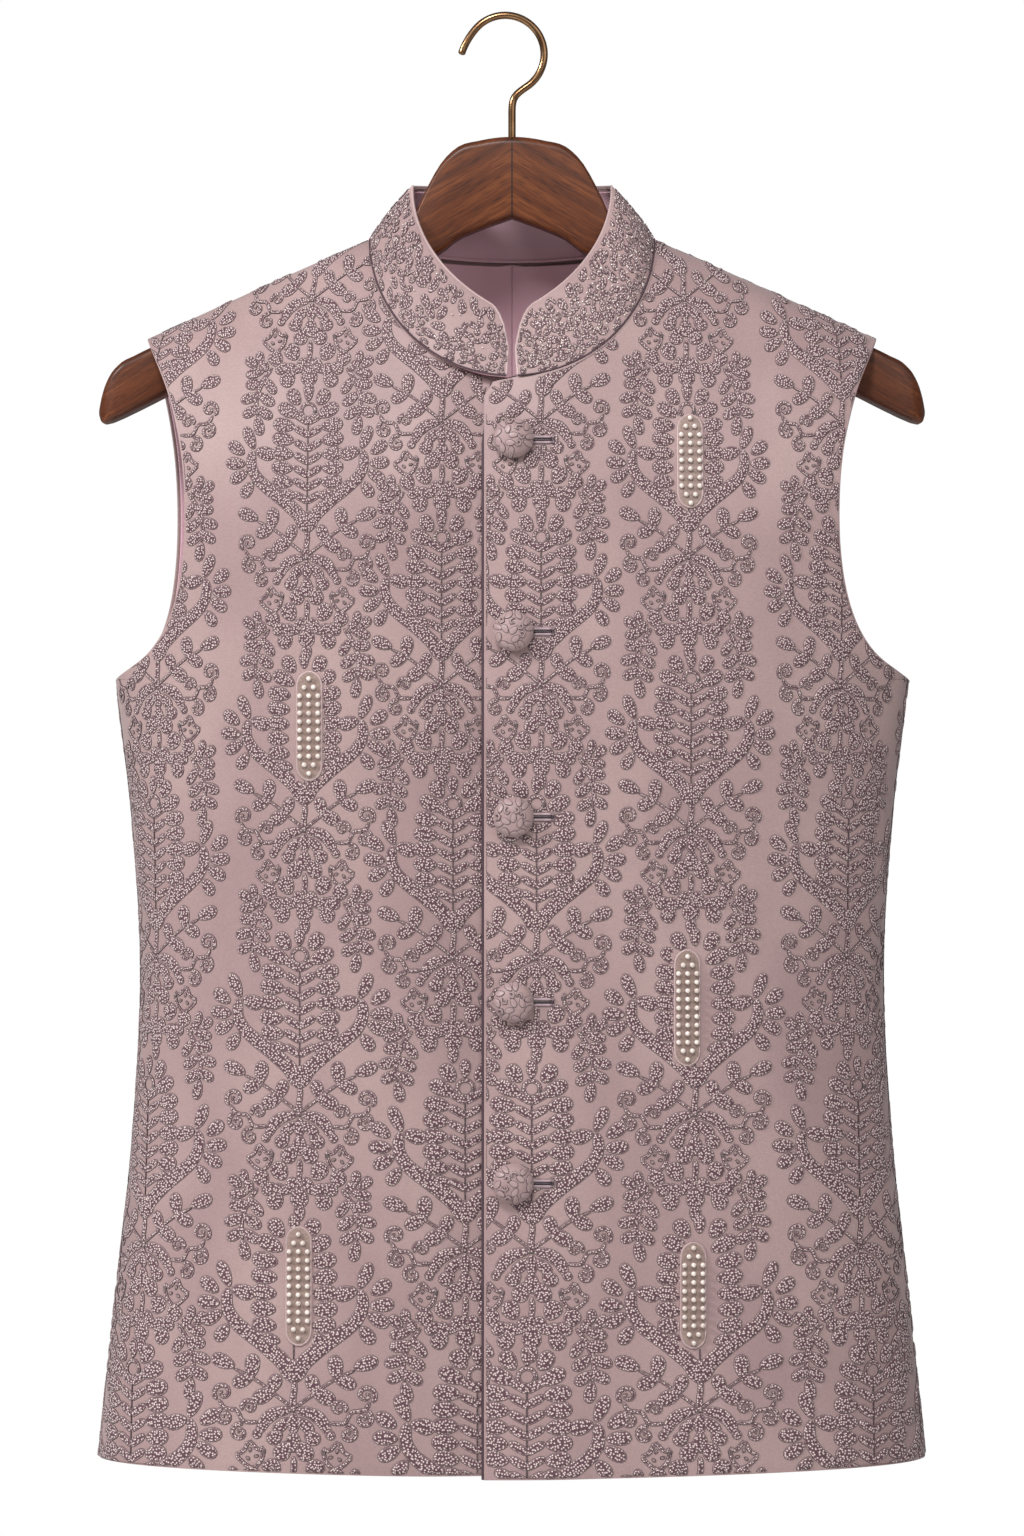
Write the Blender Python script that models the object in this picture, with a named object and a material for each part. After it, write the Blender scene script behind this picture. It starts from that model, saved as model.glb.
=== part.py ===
"""A sleeveless nehru jacket hanging on a wooden hanger with a wire hook.

Metres, +Z up. The origin is the seat of the hook: the point of its inner side
that a rail bears on. The jacket faces -Y, so its wearer's left side is at +X.
"""

import math

import bmesh
import bpy
import numpy as np
from mathutils import Vector

# ---------------------------------------------------------------- cloth sizes

GAP = 0.0003  # between neighbouring pieces
SHELL = 0.0020  # embroidered cloth with its interlining
LINING = 0.0010
LINING_GAP = 0.0016  # the back's lining hangs a little freer
FINE = 8  # fine steps of a surface for each step of its mesh
PANEL_ROWS = (12, 7)  # up to the armpit, and on to the neck's lowest point
NECK_STEPS = 8  # from there to the shoulder along the neck seam
PANEL_COLUMNS = 11
MIDDLE_ROWS = sum(PANEL_ROWS)  # rows that start at the middle and not at the neck

# The body's cross-sections, top to bottom. Above the armholes the half width
# is that of the full oval which the armholes cut short.
BODY = np.array(
    [  # height, half width, front depth, back depth
        (-0.090, 0.2420, 0.068, 0.066),
        (-0.200, 0.2400, 0.070, 0.070),
        (-0.290, 0.2320, 0.074, 0.073),
        (-0.370, 0.2215, 0.077, 0.074),
        (-0.448, 0.2122, 0.075, 0.071),
        (-0.526, 0.2075, 0.072, 0.067),
        (-0.627, 0.2122, 0.073, 0.068),
        (-0.717, 0.2220, 0.077, 0.072),
        (-0.807, 0.2315, 0.082, 0.077),
    ]
)
SQUARENESS = 2.5  # 2 would make the sections ellipses

NECK_HALF = 0.0795  # from the middle to where collar and shoulder meet
NECK_POINT = -0.1232  # height there
SHOULDER_TIP = 0.2038
SHOULDER_SLOPE = 0.47
RIDGE_EASE = 0.040  # rounds the shoulder line towards the neck

# How each side leaves the shoulder line: it reaches its full depth this far
# below the line, as a superellipse of this power, at the neck and at the tip.
FALL = {  # side: (distance at neck, at tip), (power at neck, at tip)
    -1: ((0.170, 0.110), (1.6, 2.0)),
    1: ((0.120, 0.100), (1.8, 2.0)),
}
FRONT, BACK = -1, 1

FRONT_NECK = -0.2040  # height of the neck seam at the centre front
BACK_NECK = -0.1316
ARMPIT = -0.3700
HEM_SIDE = -0.8025
HEM_FRONT = {"over": -0.8073, "under": -0.8060}
HEM_BACK = -0.8060

# Armhole edges from the armpit up to the shoulder tip: across, height.
ARMHOLE = {
    FRONT: (
        (0.2215, -0.370),
        (0.1995, -0.354),
        (0.1865, -0.330),
        (0.1805, -0.295),
        (0.1815, -0.252),
        (0.1895, -0.214),
        (0.2038, -0.1792),
    ),
    BACK: (
        (0.2215, -0.370),
        (0.2035, -0.354),
        (0.1930, -0.330),
        (0.1883, -0.295),
        (0.1890, -0.252),
        (0.1945, -0.214),
        (0.2038, -0.1792),
    ),
}
ARMHOLE_SHARE = {FRONT: 0.72, BACK: 0.84}  # of its length, below the neck's lowest point
BACK_SWAY = -0.0025  # the back hangs this far over to one side at the armholes

# The wearer's left front laps over the right one.
LAP_OVER = 0.0153  # from the middle to the edge that shows
LAP_UNDER = 0.0170
LAP_STEP = 0.0018  # each front moves this far, out or in
LAP_BLEND = 0.033
VALLEY = 0.0042  # how far both fronts dip where they lap
VALLEY_REACH = 0.070
LAP_CORNER_DROP = 0.0036  # the lap's top corner lies below the neck seam

# ---------------------------------------------------------------- collar

COLLAR_GAP = 0.0066  # between the collar's two ends
COLLAR_CORNER = 0.020
COLLAR_ROWS = 5
COLLAR_TOP_HALF = 0.0560
COLLAR_TOP_FRONT = (-0.040, -0.168)  # y and z of its top edge
COLLAR_TOP_SIDE = -0.093
COLLAR_TOP_BACK = (0.034, -0.0905)

# ---------------------------------------------------------------- trims

BUTTON_HEIGHTS = (-0.2393, -0.3444, -0.4456, -0.5468, -0.6458)
BUTTON_ACROSS = 0.0008
BUTTON_RADIUS = 0.0110
BUTTON_DOME = 0.0080
SHANK_RADIUS = 0.0030
SHANK_LENGTH = 0.0025

HOLE_INNER, HOLE_OUTER = 0.0060, 0.0225  # ends of a buttonhole, from the middle
HOLE_PROFILE = (  # across the welts: offset from the slit, height
    (-0.0023, 0.0003),
    (-0.0019, 0.0009),
    (-0.0009, 0.0009),
    (-0.0003, 0.0004),
    (0.0003, 0.0004),
    (0.0009, 0.0009),
    (0.0019, 0.0009),
    (0.0023, 0.0003),
)

PEARL_PANELS = (  # across, height of its middle, length
    (0.0976, -0.2508, 0.051),
    (0.0958, -0.5501, 0.063),
    (0.0990, -0.7070, 0.057),
    (-0.1107, -0.3959, 0.059),
    (-0.1165, -0.7022, 0.064),
)
PEARL_PANEL_WIDTH = 0.0150
PEARL_PANEL_THICK = 0.0008
PEARL_PANEL_END = 0.0080  # length of each rounded end

# ---------------------------------------------------------------- hanger

HANGER = (  # from its middle: across, top, bottom, half thickness
    (0.0000, -0.0661, -0.1114, 0.0090),
    (0.0180, -0.0682, -0.1180, 0.0090),
    (0.0312, -0.0724, -0.1240, 0.0095),
    (0.0395, -0.0808, -0.1305, 0.0100),
    (0.0479, -0.0956, -0.1348, 0.0100),
    (0.0545, -0.1100, -0.1387, 0.0100),
    (0.0590, -0.1195, -0.1408, 0.0100),
    (0.0670, -0.1262, -0.1449, 0.0105),
    (0.0800, -0.1292, -0.1516, 0.0110),
    (0.1100, -0.1425, -0.1672, 0.0120),
    (0.1400, -0.1554, -0.1828, 0.0130),
    (0.1700, -0.1696, -0.1984, 0.0140),
    (0.1950, -0.1813, -0.2114, 0.0145),
    (0.2100, -0.1885, -0.2190, 0.0142),
    (0.2200, -0.1968, -0.2240, 0.0128),
    (0.2265, -0.2080, -0.2262, 0.0098),
    (0.2300, -0.2190, -0.2258, 0.0045),
)
HANGER_RING = 14
HANGER_SQUARENESS = 2.6

HOOK_WIRE = 0.0021  # radius
HOOK_RADIUS = 0.0218  # to the wire's middle
HOOK_SHIFT = -0.0038  # the bow's centre lies beside the stem
HOOK_FLARE = 0.0025
HOOK_TIP, HOOK_FLARE_FROM, HOOK_TURN = 178.0, 140.0, -57.0  # degrees round the bow
STEM_START = -0.0520
STEM_IN_WOOD = 0.0120
HOOK_BORE = HOOK_WIRE + GAP


def hook_centre():
    """Centre of the bow, placed so that its inner side passes through the origin."""
    inner = HOOK_RADIUS - HOOK_WIRE
    return HOOK_SHIFT, -math.sqrt(inner**2 - HOOK_SHIFT**2)


# ---------------------------------------------------------------- curves


def through(knots, values, at):
    """Smooth curve through a table's values, read at the given places."""
    order = np.argsort(knots)
    knots, values = np.asarray(knots)[order], np.asarray(values)[order]
    slopes = np.gradient(values, knots)
    at = np.clip(at, knots[0], knots[-1])
    i = np.clip(np.searchsorted(knots, at) - 1, 0, len(knots) - 2)
    width = knots[i + 1] - knots[i]
    t = (at - knots[i]) / width
    rise = values[i + 1] - values[i]
    ends = slopes[i] * (1 - t) - slopes[i + 1] * t
    bend = rise * (2 * t - 1)
    return values[i] + rise * t + t * (1 - t) * (ends * width + bend)


def smoothstep(x):
    x = np.clip(x, 0, 1)
    return x * x * (3 - 2 * x)


def spaced(points, fractions):
    """Points at these fractions of a polyline's length."""
    steps = np.linalg.norm(np.diff(points, axis=0), axis=1)
    reached = np.concatenate([[0], np.cumsum(steps)])
    at = np.asarray(fractions) * reached[-1]
    return np.stack([np.interp(at, reached, column) for column in points.T], axis=1)


def unit(vectors):
    return vectors / np.linalg.norm(vectors, axis=-1, keepdims=True)


# ---------------------------------------------------------------- the body


def ridge(x):
    """Height of the shoulder line, which runs on smoothly inside the neck."""
    run = np.hypot(x, RIDGE_EASE) - math.hypot(NECK_HALF, RIDGE_EASE)
    return NECK_POINT - SHOULDER_SLOPE * run


def cloth(x, z, side):
    """How far the cloth's outer face lies from the middle plane, as y."""
    half = through(BODY[:, 0], BODY[:, 1], z)
    depth = through(BODY[:, 0], BODY[:, 2 if side == FRONT else 3], z)
    (fall_neck, fall_tip), (power_neck, power_tip) = FALL[side]
    outward = smoothstep((np.abs(x) - NECK_HALF) / (SHOULDER_TIP - NECK_HALF))
    fall = fall_neck + (fall_tip - fall_neck) * outward
    power = power_neck + (power_tip - power_neck) * outward
    plan = (1 - np.clip(np.abs(x) / half, 0, 1) ** SQUARENESS) ** (1 / SQUARENESS)
    left = 1 - np.clip((ridge(x) - z) / fall, 0, 1)
    return side * depth * plan * (1 - left**power) ** (1 / power)


def lap(x, layer):
    """How far a front is shifted, as y, where the two fronts lap.

    x is measured from the middle towards that front's own side.
    """
    shift = -LAP_STEP if layer == "over" else LAP_STEP
    shift = shift * smoothstep((LAP_UNDER + LAP_BLEND - x) / LAP_BLEND)
    floor = -LAP_UNDER if layer == "over" else LAP_UNDER
    return shift + VALLEY * np.clip(1 - (x - floor) / VALLEY_REACH, 0, 1) ** 2


def neck_curve(side, turn):
    """The neck seam at x >= 0, from the middle (turn 0) to the shoulder (turn 1)."""
    angle = np.asarray(turn) * math.pi / 2
    x = NECK_HALF * np.sin(angle)
    if side == FRONT:
        return x, NECK_POINT + (FRONT_NECK - NECK_POINT) * np.cos(angle)
    return x, NECK_POINT + (BACK_NECK - NECK_POINT) * np.cos(angle) ** 1.5


def neck_turns(side):
    """Where the mesh points of the neck seam lie, as turns, closer to the shoulder.

    On the front they start at the collar's end.
    """
    start = math.asin(COLLAR_GAP / 2 / NECK_HALF) / (math.pi / 2) if side == FRONT else 0
    return start + (1 - start) * (1 - (1 - np.linspace(0, 1, NECK_STEPS + 1)) ** 1.6)


def finely(nodes):
    """The same nodes with FINE steps between each two."""
    at = np.arange((len(nodes) - 1) * FINE + 1) / FINE
    nodes = np.asarray(nodes, float).reshape(len(nodes), -1)
    fine = [np.interp(at, np.arange(len(nodes)), column) for column in nodes.T]
    return np.stack(fine, axis=1)


def neck_edge(side, edge):
    """Fine (x, z) points along the neck edge of a half panel that starts at edge."""
    x, z = neck_curve(side, finely(neck_turns(side))[:, 0])
    seam = np.stack([x, z], axis=1)
    if edge < 0:
        corner = (edge, FRONT_NECK - LAP_CORNER_DROP)
        seam = np.concatenate([finely([corner, seam[0]])[:-1], seam])
    return seam


def armhole_edge(side, sway):
    """The armhole from the armpit to the shoulder tip, as (x, z) points at x > 0."""
    table = np.array(ARMHOLE[side])
    t = np.linspace(0, 1, 200)
    knots = np.linspace(0, 1, len(table))
    x = through(knots, table[:, 0], t) + sway * np.sin(math.pi * t)
    z = through(knots, table[:, 1], t)
    z[-1] = ridge(x[-1])
    return np.stack([x, z], axis=1)


def half_panel(side, mirror, edge=0.0, layer=None):
    """Fine grid of points over one half of the front or back, hem to shoulder.

    mirror is +1 for the wearer's left, -1 for the right. edge is where the half
    starts, and layer is the front's place in the lap.
    """
    below, beside = (count * FINE for count in PANEL_ROWS)
    hem = HEM_FRONT[layer] if side == FRONT else HEM_BACK
    neck = neck_edge(side, edge)
    hole = armhole_edge(side, mirror * BACK_SWAY if side == BACK else 0.0)
    reach = ARMHOLE_SHARE[side]

    up = np.linspace(0, 1, below + 1)[:-1]
    side_z = HEM_SIDE + (ARMPIT - HEM_SIDE) * up
    left = [np.stack([np.full(below, edge), hem + (ARMPIT - hem) * up], axis=1)]
    right = [np.stack([through(BODY[:, 0], BODY[:, 1], side_z), side_z], axis=1)]
    up = np.linspace(0, 1, beside + 1)[:-1] ** 1.5
    neck_z = ARMPIT + (neck[0, 1] - ARMPIT) * up
    left.append(np.stack([np.full(beside, edge), neck_z], axis=1))
    right.append(spaced(hole, up * reach))
    up = 1 - (1 - np.linspace(0, 1, len(neck))) ** 1.6
    left.append(neck)
    right.append(spaced(hole, reach + (1 - reach) * up))
    left, right = np.concatenate(left), np.concatenate(right)
    to_top = np.concatenate([np.zeros(below + beside), up**2])

    nodes = np.linspace(0, 1, PANEL_COLUMNS + 1)
    fine_nodes = np.linspace(0, 1, PANEL_COLUMNS * FINE + 1)
    across = 1 - (1 - np.linspace(0, 1, 400)) ** 2
    grid = np.empty((len(left), len(fine_nodes), 3))
    for row, ((x0, z0), (x1, z1), top) in enumerate(zip(left, right, to_top)):
        x = x0 + (x1 - x0) * across
        z = z0 + (z1 - z0) * across
        tip_share = (x - NECK_HALF) / (x1 - NECK_HALF)
        straight = NECK_POINT + (ridge(x1) - NECK_POINT) * tip_share
        bulge = np.where(tip_share > 0, ridge(x) - straight, 0)
        z = np.minimum(z + top * bulge, ridge(x))
        y = cloth(x, z, side)
        if layer:
            y += lap(x, layer)
        points = np.stack([x, y, z], axis=1)
        if row <= below + beside:
            shares = column_shares(points)
        grid[row] = spaced(points, np.interp(fine_nodes, nodes, shares))
    grid[:, :, 1] += side * GAP / 2
    grid[:, :, 0] *= mirror
    return grid


def column_shares(points):
    """Where a row's mesh points lie along it: on the lap's edges, then closer
    together towards the side, where the body turns."""
    steps = np.linalg.norm(np.diff(points, axis=0), axis=1)
    reached = np.concatenate([[0], np.cumsum(steps)]) / steps.sum()
    lap_nodes = np.interp([LAP_UNDER, LAP_UNDER + LAP_BLEND], points[:, 0], reached)
    rest = 1 - (1 - np.linspace(0, 1, PANEL_COLUMNS - 1)) ** 1.35
    return np.concatenate([[0, lap_nodes[0]], lap_nodes[1] + (1 - lap_nodes[1]) * rest])


def outward(grid, side):
    """Unit normals of a half panel. At its seams they lie in the seam's plane."""
    normals = np.cross(np.gradient(grid, axis=0), np.gradient(grid, axis=1))
    # The middle of a half panel tells which way round the grid runs.
    middle = normals[len(grid) // 3, grid.shape[1] // 3, 1]
    normals *= side * np.sign(middle)
    top, outer_edge = normals[-1], normals[: PANEL_ROWS[0] * FINE + 1, -1]
    top[:, 1] = 0
    outer_edge[:, 1] = 0
    return unit(normals)


# ---------------------------------------------------------------- meshes


def new_object(name, mesh, material, collection, smooth=35):
    """Link a finished mesh to the scene under this name."""
    mesh.name = name
    mesh.shade_smooth()
    mesh.set_sharp_from_angle(angle=math.radians(smooth))
    mesh.materials.append(material)
    obj = bpy.data.objects.new(name, mesh)
    collection.objects.link(obj)
    return obj


def wall(*sheets):
    """Mesh of a closed wall: grids laid on its outer points, then extruded inwards.

    Each sheet is a grid of outer points and one of inner points. Sheets that share
    an edge are joined along it.
    """
    bm = bmesh.new()
    place = bm.verts.layers.int.new("place")
    inside = np.concatenate([inner.reshape(-1, 3) for _, inner in sheets])
    count = 0
    for outer, _ in sheets:
        rows, columns = outer.shape[:2]
        made = bmesh.ops.create_grid(
            bm, x_segments=columns - 1, y_segments=rows - 1, size=1
        )["verts"]
        for vertex, point in zip(made, outer.reshape(-1, 3)):
            vertex.co = point
            vertex[place] = count
            count += 1
    bmesh.ops.remove_doubles(bm, verts=bm.verts[:], dist=1e-6)
    # Cut alike, both faces of a wall and the pieces laid on it fold on the same lines.
    bmesh.ops.triangulate(bm, faces=bm.faces[:], quad_method="FIXED")
    made = bmesh.ops.extrude_face_region(bm, geom=bm.faces[:])["geom"]
    for vertex in made:
        if isinstance(vertex, bmesh.types.BMVert):
            vertex.co = inside[vertex[place]]
    bmesh.ops.recalc_face_normals(bm, faces=bm.faces[:])
    mesh = bpy.data.meshes.new("wall")
    bm.to_mesh(mesh)
    bm.free()
    return mesh


def loft(rings):
    """Mesh through rings of equally many points, closed at both ends."""
    bm = bmesh.new()
    loops = [[bm.verts.new(point) for point in ring] for ring in rings]
    for a, b in zip(loops, loops[1:]):
        for i in range(len(a)):
            j = (i + 1) % len(a)
            bm.faces.new((a[i], a[j], b[j], b[i]))
    bm.faces.new(loops[0])
    bm.faces.new(loops[-1])
    bmesh.ops.recalc_face_normals(bm, faces=bm.faces[:])
    mesh = bpy.data.meshes.new("loft")
    bm.to_mesh(mesh)
    bm.free()
    return mesh


def material(name, colour, roughness, metallic=0.0):
    made = bpy.data.materials.new(name)
    made.use_nodes = True
    shader = made.node_tree.nodes["Principled BSDF"]
    shader.inputs["Base Color"].default_value = (*colour, 1)
    shader.inputs["Roughness"].default_value = roughness
    shader.inputs["Metallic"].default_value = metallic
    return made


# ---------------------------------------------------------------- pieces


def make_fronts(collection, finish):
    for name, mirror, edge, layer in (
        ("front_left", 1, -LAP_OVER, "over"),
        ("front_right", -1, -LAP_UNDER, "under"),
    ):
        fine = half_panel(FRONT, mirror, edge, layer)
        inside = fine - SHELL * outward(fine, FRONT)
        mesh = wall((fine[::FINE, ::FINE], inside[::FINE, ::FINE]))
        new_object(name, mesh, finish, collection)


def back_half(mirror):
    """One half of the back: its fine grid and normals, from the middle outwards."""
    fine = half_panel(BACK, mirror)
    normals = outward(fine, BACK)
    normals[: MIDDLE_ROWS * FINE + 1, 0, 0] = 0
    return fine, unit(normals)


def make_back(collection, finish):
    halves = []
    for mirror in (-1, 1):
        fine, normals = back_half(mirror)
        inside = fine - SHELL * normals
        columns = slice(None, None, mirror * FINE)
        halves.append((fine[::FINE, columns], inside[::FINE, columns]))
    new_object("back", wall(*halves), finish, collection)


def make_back_linings(collection, finish):
    """The back's lining, in two halves with a seam down the middle.

    It has the back's own mesh points, moved in, and its edges are drawn in from
    the back's by a share of the mesh's step there.
    """
    at_neck = MIDDLE_ROWS + 1
    for name, mirror in (("back_lining_left", 1), ("back_lining_right", -1)):
        fine, normals = back_half(mirror)
        fine[: MIDDLE_ROWS * FINE + 1, 0, 0] = mirror * GAP / 2
        faces = []
        for depth in (SHELL + LINING_GAP, SHELL + LINING_GAP + LINING):
            face = (fine - depth * normals)[::FINE, ::FINE]
            face[0] += 0.5 * (face[1] - face[0])
            face[-1] += 0.12 * (face[-2] - face[-1])
            face[:, -1] += 0.12 * (face[:, -2] - face[:, -1])
            face[at_neck:, 0] += 0.12 * (face[at_neck:, 1] - face[at_neck:, 0])
            faces.append(face[:, ::mirror])
        new_object(name, wall(tuple(faces)), finish, collection)


def surface_normal(x, z, side):
    """Outward normal of the body's surface at places given by x and z."""
    step = 2e-4
    z = np.minimum(z, ridge(x) - 2 * step)
    slope_x = (cloth(x + step, z, side) - cloth(x - step, z, side)) / (2 * step)
    slope_z = (cloth(x, z + step, side) - cloth(x, z - step, side)) / (2 * step)
    return unit(np.stack([-slope_x, np.ones_like(x), -slope_z], axis=-1) * side)


def collar_rails():
    """The collar at x >= 0 from its end to the middle back.

    Gives its seam line, its top line and the direction in which it leaves the seam.
    """
    base, top, normal = [], [], []
    for side in (FRONT, BACK):
        turn = finely(neck_turns(side))[:, 0]
        angle = turn * math.pi / 2
        x, z = neck_curve(side, turn)
        y = cloth(x, z, side) + side * GAP / 2
        if side == FRONT:
            (y_mid, z_mid), lean = COLLAR_TOP_FRONT, angle - 0.14 * np.sin(2 * angle)
            climb = (1 - np.cos(lean)) / 2 + lean / math.pi
        else:
            (y_mid, z_mid), lean = COLLAR_TOP_BACK, angle
            climb = 1 - np.cos(lean)
        top_x = COLLAR_TOP_HALF * np.sin(lean)
        top_z = z_mid + (COLLAR_TOP_SIDE - z_mid) * climb
        onward = slice(None) if side == FRONT else slice(-2, None, -1)
        base.append(np.stack([x, y, z], axis=1)[onward])
        top.append(np.stack([top_x, y_mid * np.cos(lean), top_z], axis=1)[onward])
        normal.append(surface_normal(x, z, side)[onward])
    base, top, normal = (np.concatenate(part) for part in (base, top, normal))
    into = unit(np.cross(normal, unit(np.gradient(base, axis=0))))
    into *= np.sign(into[:, 2:3])
    upright = 0.6 * smoothstep(3 * np.linspace(0, 1, len(base)))[:, None]
    lead = unit(into * (1 - upright) + np.array([0, 0, 1.0]) * upright)
    return base, top, lead


def collar_surface():
    """Fine grid over the collar, from its seam up and from its right end round."""
    base, top, lead = collar_rails()
    height = np.linalg.norm(top - base, axis=1)[:, None]
    bend = base + 0.33 * height * lead
    start = base + 1.7 * GAP * lead
    steps = np.linalg.norm(np.diff(base, axis=0), axis=1)
    along = np.concatenate([[0], np.cumsum(steps)])
    short = np.clip(COLLAR_CORNER - along, 0, COLLAR_CORNER)
    cut = COLLAR_CORNER - np.sqrt(COLLAR_CORNER**2 - short**2)
    reach = 1 - cut[:, None] / height
    rows = []
    for rise in np.linspace(0, 1, COLLAR_ROWS * FINE + 1):
        t = rise * reach
        rows.append(start * (1 - t) ** 2 + 2 * t * (1 - t) * bend + top * t**2)
    half = np.stack(rows)
    other = half[:, :-1] * np.array([-1, 1, 1])
    return np.concatenate([other, half[:, ::-1]], axis=1)


def make_collar(collection, finish, lining_finish):
    """The stand collar and its lining, each one band from end to end."""
    fine = collar_surface()
    normals = np.cross(np.gradient(fine, axis=0), np.gradient(fine, axis=1))
    normals = unit(normals) * np.sign(normals[0, fine.shape[1] // 2, 1])
    outer, inner = fine[::FINE, ::FINE], (fine - SHELL * normals)[::FINE, ::FINE]
    new_object("collar", wall((outer, inner)), finish, collection)
    rows = np.arange(0, fine.shape[0], FINE)
    columns = np.arange(0, fine.shape[1], FINE)
    rows[[0, -1]] += (1, -1)
    columns[[0, -1]] += (1, -1)
    picked = np.ix_(rows, columns)
    fine, normals = fine[picked], normals[picked]
    outer = fine - (SHELL + GAP) * normals
    inner = fine - (SHELL + GAP + LINING) * normals
    new_object("collar_lining", wall((outer, inner)), lining_finish, collection)


def over_face(x, z):
    """The lapping front's outer face, with its normal, at places given by x and z."""
    x, z = np.asarray(x, float), np.asarray(z, float)
    points = np.stack([x, cloth(x, z, FRONT) + lap(x, "over"), z], axis=-1)
    return points, surface_normal(x, z, FRONT)


def front_face(x, z):
    """The outer face of whichever front lies at x, well away from the lap."""
    x, z = np.asarray(x, float), np.asarray(z, float)
    layer_shift = np.where(x > 0, lap(x, "over"), lap(-x, "under"))
    points = np.stack([x, cloth(x, z, FRONT) + layer_shift, z], axis=-1)
    return points, surface_normal(x, z, FRONT)


def make_buttons(collection, finish):
    """Domed buttons: a turned profile, seated square to the cloth on a shank."""
    slices, dome_points = 16, 5
    for number, height in enumerate(BUTTON_HEIGHTS, 1):
        bm = bmesh.new()
        profile = [(0.0, 0.0), (SHANK_RADIUS, 0.0), (SHANK_RADIUS, SHANK_LENGTH)]
        profile.append((BUTTON_RADIUS * 0.93, SHANK_LENGTH))
        for i in range(dome_points + 1):
            angle = math.pi / 2 * i / dome_points
            rim = SHANK_LENGTH + 0.0012
            up = rim + (BUTTON_DOME - 0.0012) * math.sin(angle)
            profile.append((BUTTON_RADIUS * math.cos(angle) ** 0.8, up))
        profile[-1] = (0.0, profile[-1][1])
        points = [bm.verts.new((radius, 0, up)) for radius, up in profile]
        for a, b in zip(points, points[1:]):
            bm.edges.new((a, b))
        bmesh.ops.spin(
            bm,
            geom=bm.verts[:] + bm.edges[:],
            axis=(0, 0, 1),
            angle=2 * math.pi,
            steps=slices,
            use_merge=True,
        )
        bmesh.ops.remove_doubles(bm, verts=bm.verts[:], dist=1e-5)
        bmesh.ops.recalc_face_normals(bm, faces=bm.faces[:])
        mesh = bpy.data.meshes.new("button")
        bm.to_mesh(mesh)
        bm.free()
        place, normal = over_face([BUTTON_ACROSS], [height])
        button = new_object(f"button_{number}", mesh, finish, collection, smooth=50)
        button.rotation_euler = Vector(normal[0]).to_track_quat("Z", "Y").to_euler()
        button.location = place[0] + GAP * normal[0]


def make_buttonholes(collection, finish):
    """Bound buttonholes: two welts with a groove between, made on the cloth's points."""
    offsets = np.array([row[0] for row in HOLE_PROFILE])
    heights = np.array([row[1] for row in HOLE_PROFILE])
    for number, height in enumerate(BUTTON_HEIGHTS, 1):
        x = np.linspace(HOLE_INNER, HOLE_OUTER, 4)
        grid_x, grid_z = np.meshgrid(x, height + offsets)
        points, normals = over_face(grid_x, grid_z)
        outer = points + (GAP + heights)[:, None, None] * normals
        inner = points + GAP * normals
        new_object(f"buttonhole_{number}", wall((outer, inner)), finish, collection)


def make_pearl_panels(collection, finish):
    """Small raised lozenges that carry the pearls, made on the cloth's points."""
    half_width = PEARL_PANEL_WIDTH / 2
    for number, (across, height, length) in enumerate(PEARL_PANELS, 1):
        ends = np.linspace(0, 1, 4)
        near = length / 2 - PEARL_PANEL_END * (1 - ends) ** 1.5
        up = np.concatenate([-near[::-1], [0.0], near])
        past = np.clip(np.abs(up) - length / 2 + PEARL_PANEL_END, 0, None)
        width = half_width * np.sqrt(1.0 - (past / PEARL_PANEL_END) ** 2 * 0.96)
        side = np.linspace(-1, 1, 4)
        grid_x = across + width[:, None] * side[None, :]
        grid_z = height + up[:, None] + 0 * side[None, :]
        points, normals = front_face(grid_x, grid_z)
        inner = points + GAP * normals
        outer = inner + PEARL_PANEL_THICK * normals
        new_object(f"pearl_panel_{number}", wall((outer, inner)), finish, collection)


def make_hanger(collection, cutters, finish):
    """The wooden hanger: rounded sections from one arm's end to the other's."""
    table = [(-x, top, bottom, half) for x, top, bottom, half in HANGER[:0:-1]]
    rings = []
    for x, top, bottom, half in table + list(HANGER):
        centre, rise = (top + bottom) / 2, (top - bottom) / 2
        ring = []
        for i in range(HANGER_RING):
            angle = 2 * math.pi * (i + 0.5) / HANGER_RING
            cos, sin = math.cos(angle), math.sin(angle)
            y = math.copysign(abs(cos) ** (2 / HANGER_SQUARENESS), cos) * half
            z = math.copysign(abs(sin) ** (2 / HANGER_SQUARENESS), sin) * rise
            ring.append((x, y, centre + z))
        rings.append(ring)
    wood = new_object("hanger_wood", loft(rings), finish, collection)

    bm = bmesh.new()
    bmesh.ops.create_cone(
        bm,
        cap_ends=True,
        segments=12,
        radius1=HOOK_BORE,
        radius2=HOOK_BORE,
        depth=2 * (STEM_IN_WOOD + GAP),
    )
    mesh = bpy.data.meshes.new("hook_bore")
    bm.to_mesh(mesh)
    bm.free()
    bore = bpy.data.objects.new("hook_bore", mesh)
    bore.location = (0, 0, HANGER[0][1])
    bore.hide_render = True
    bore.display_type = "WIRE"
    cutters.objects.link(bore)
    cut = wood.modifiers.new("hook bore", "BOOLEAN")
    cut.operation = "DIFFERENCE"
    cut.object = bore


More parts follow.
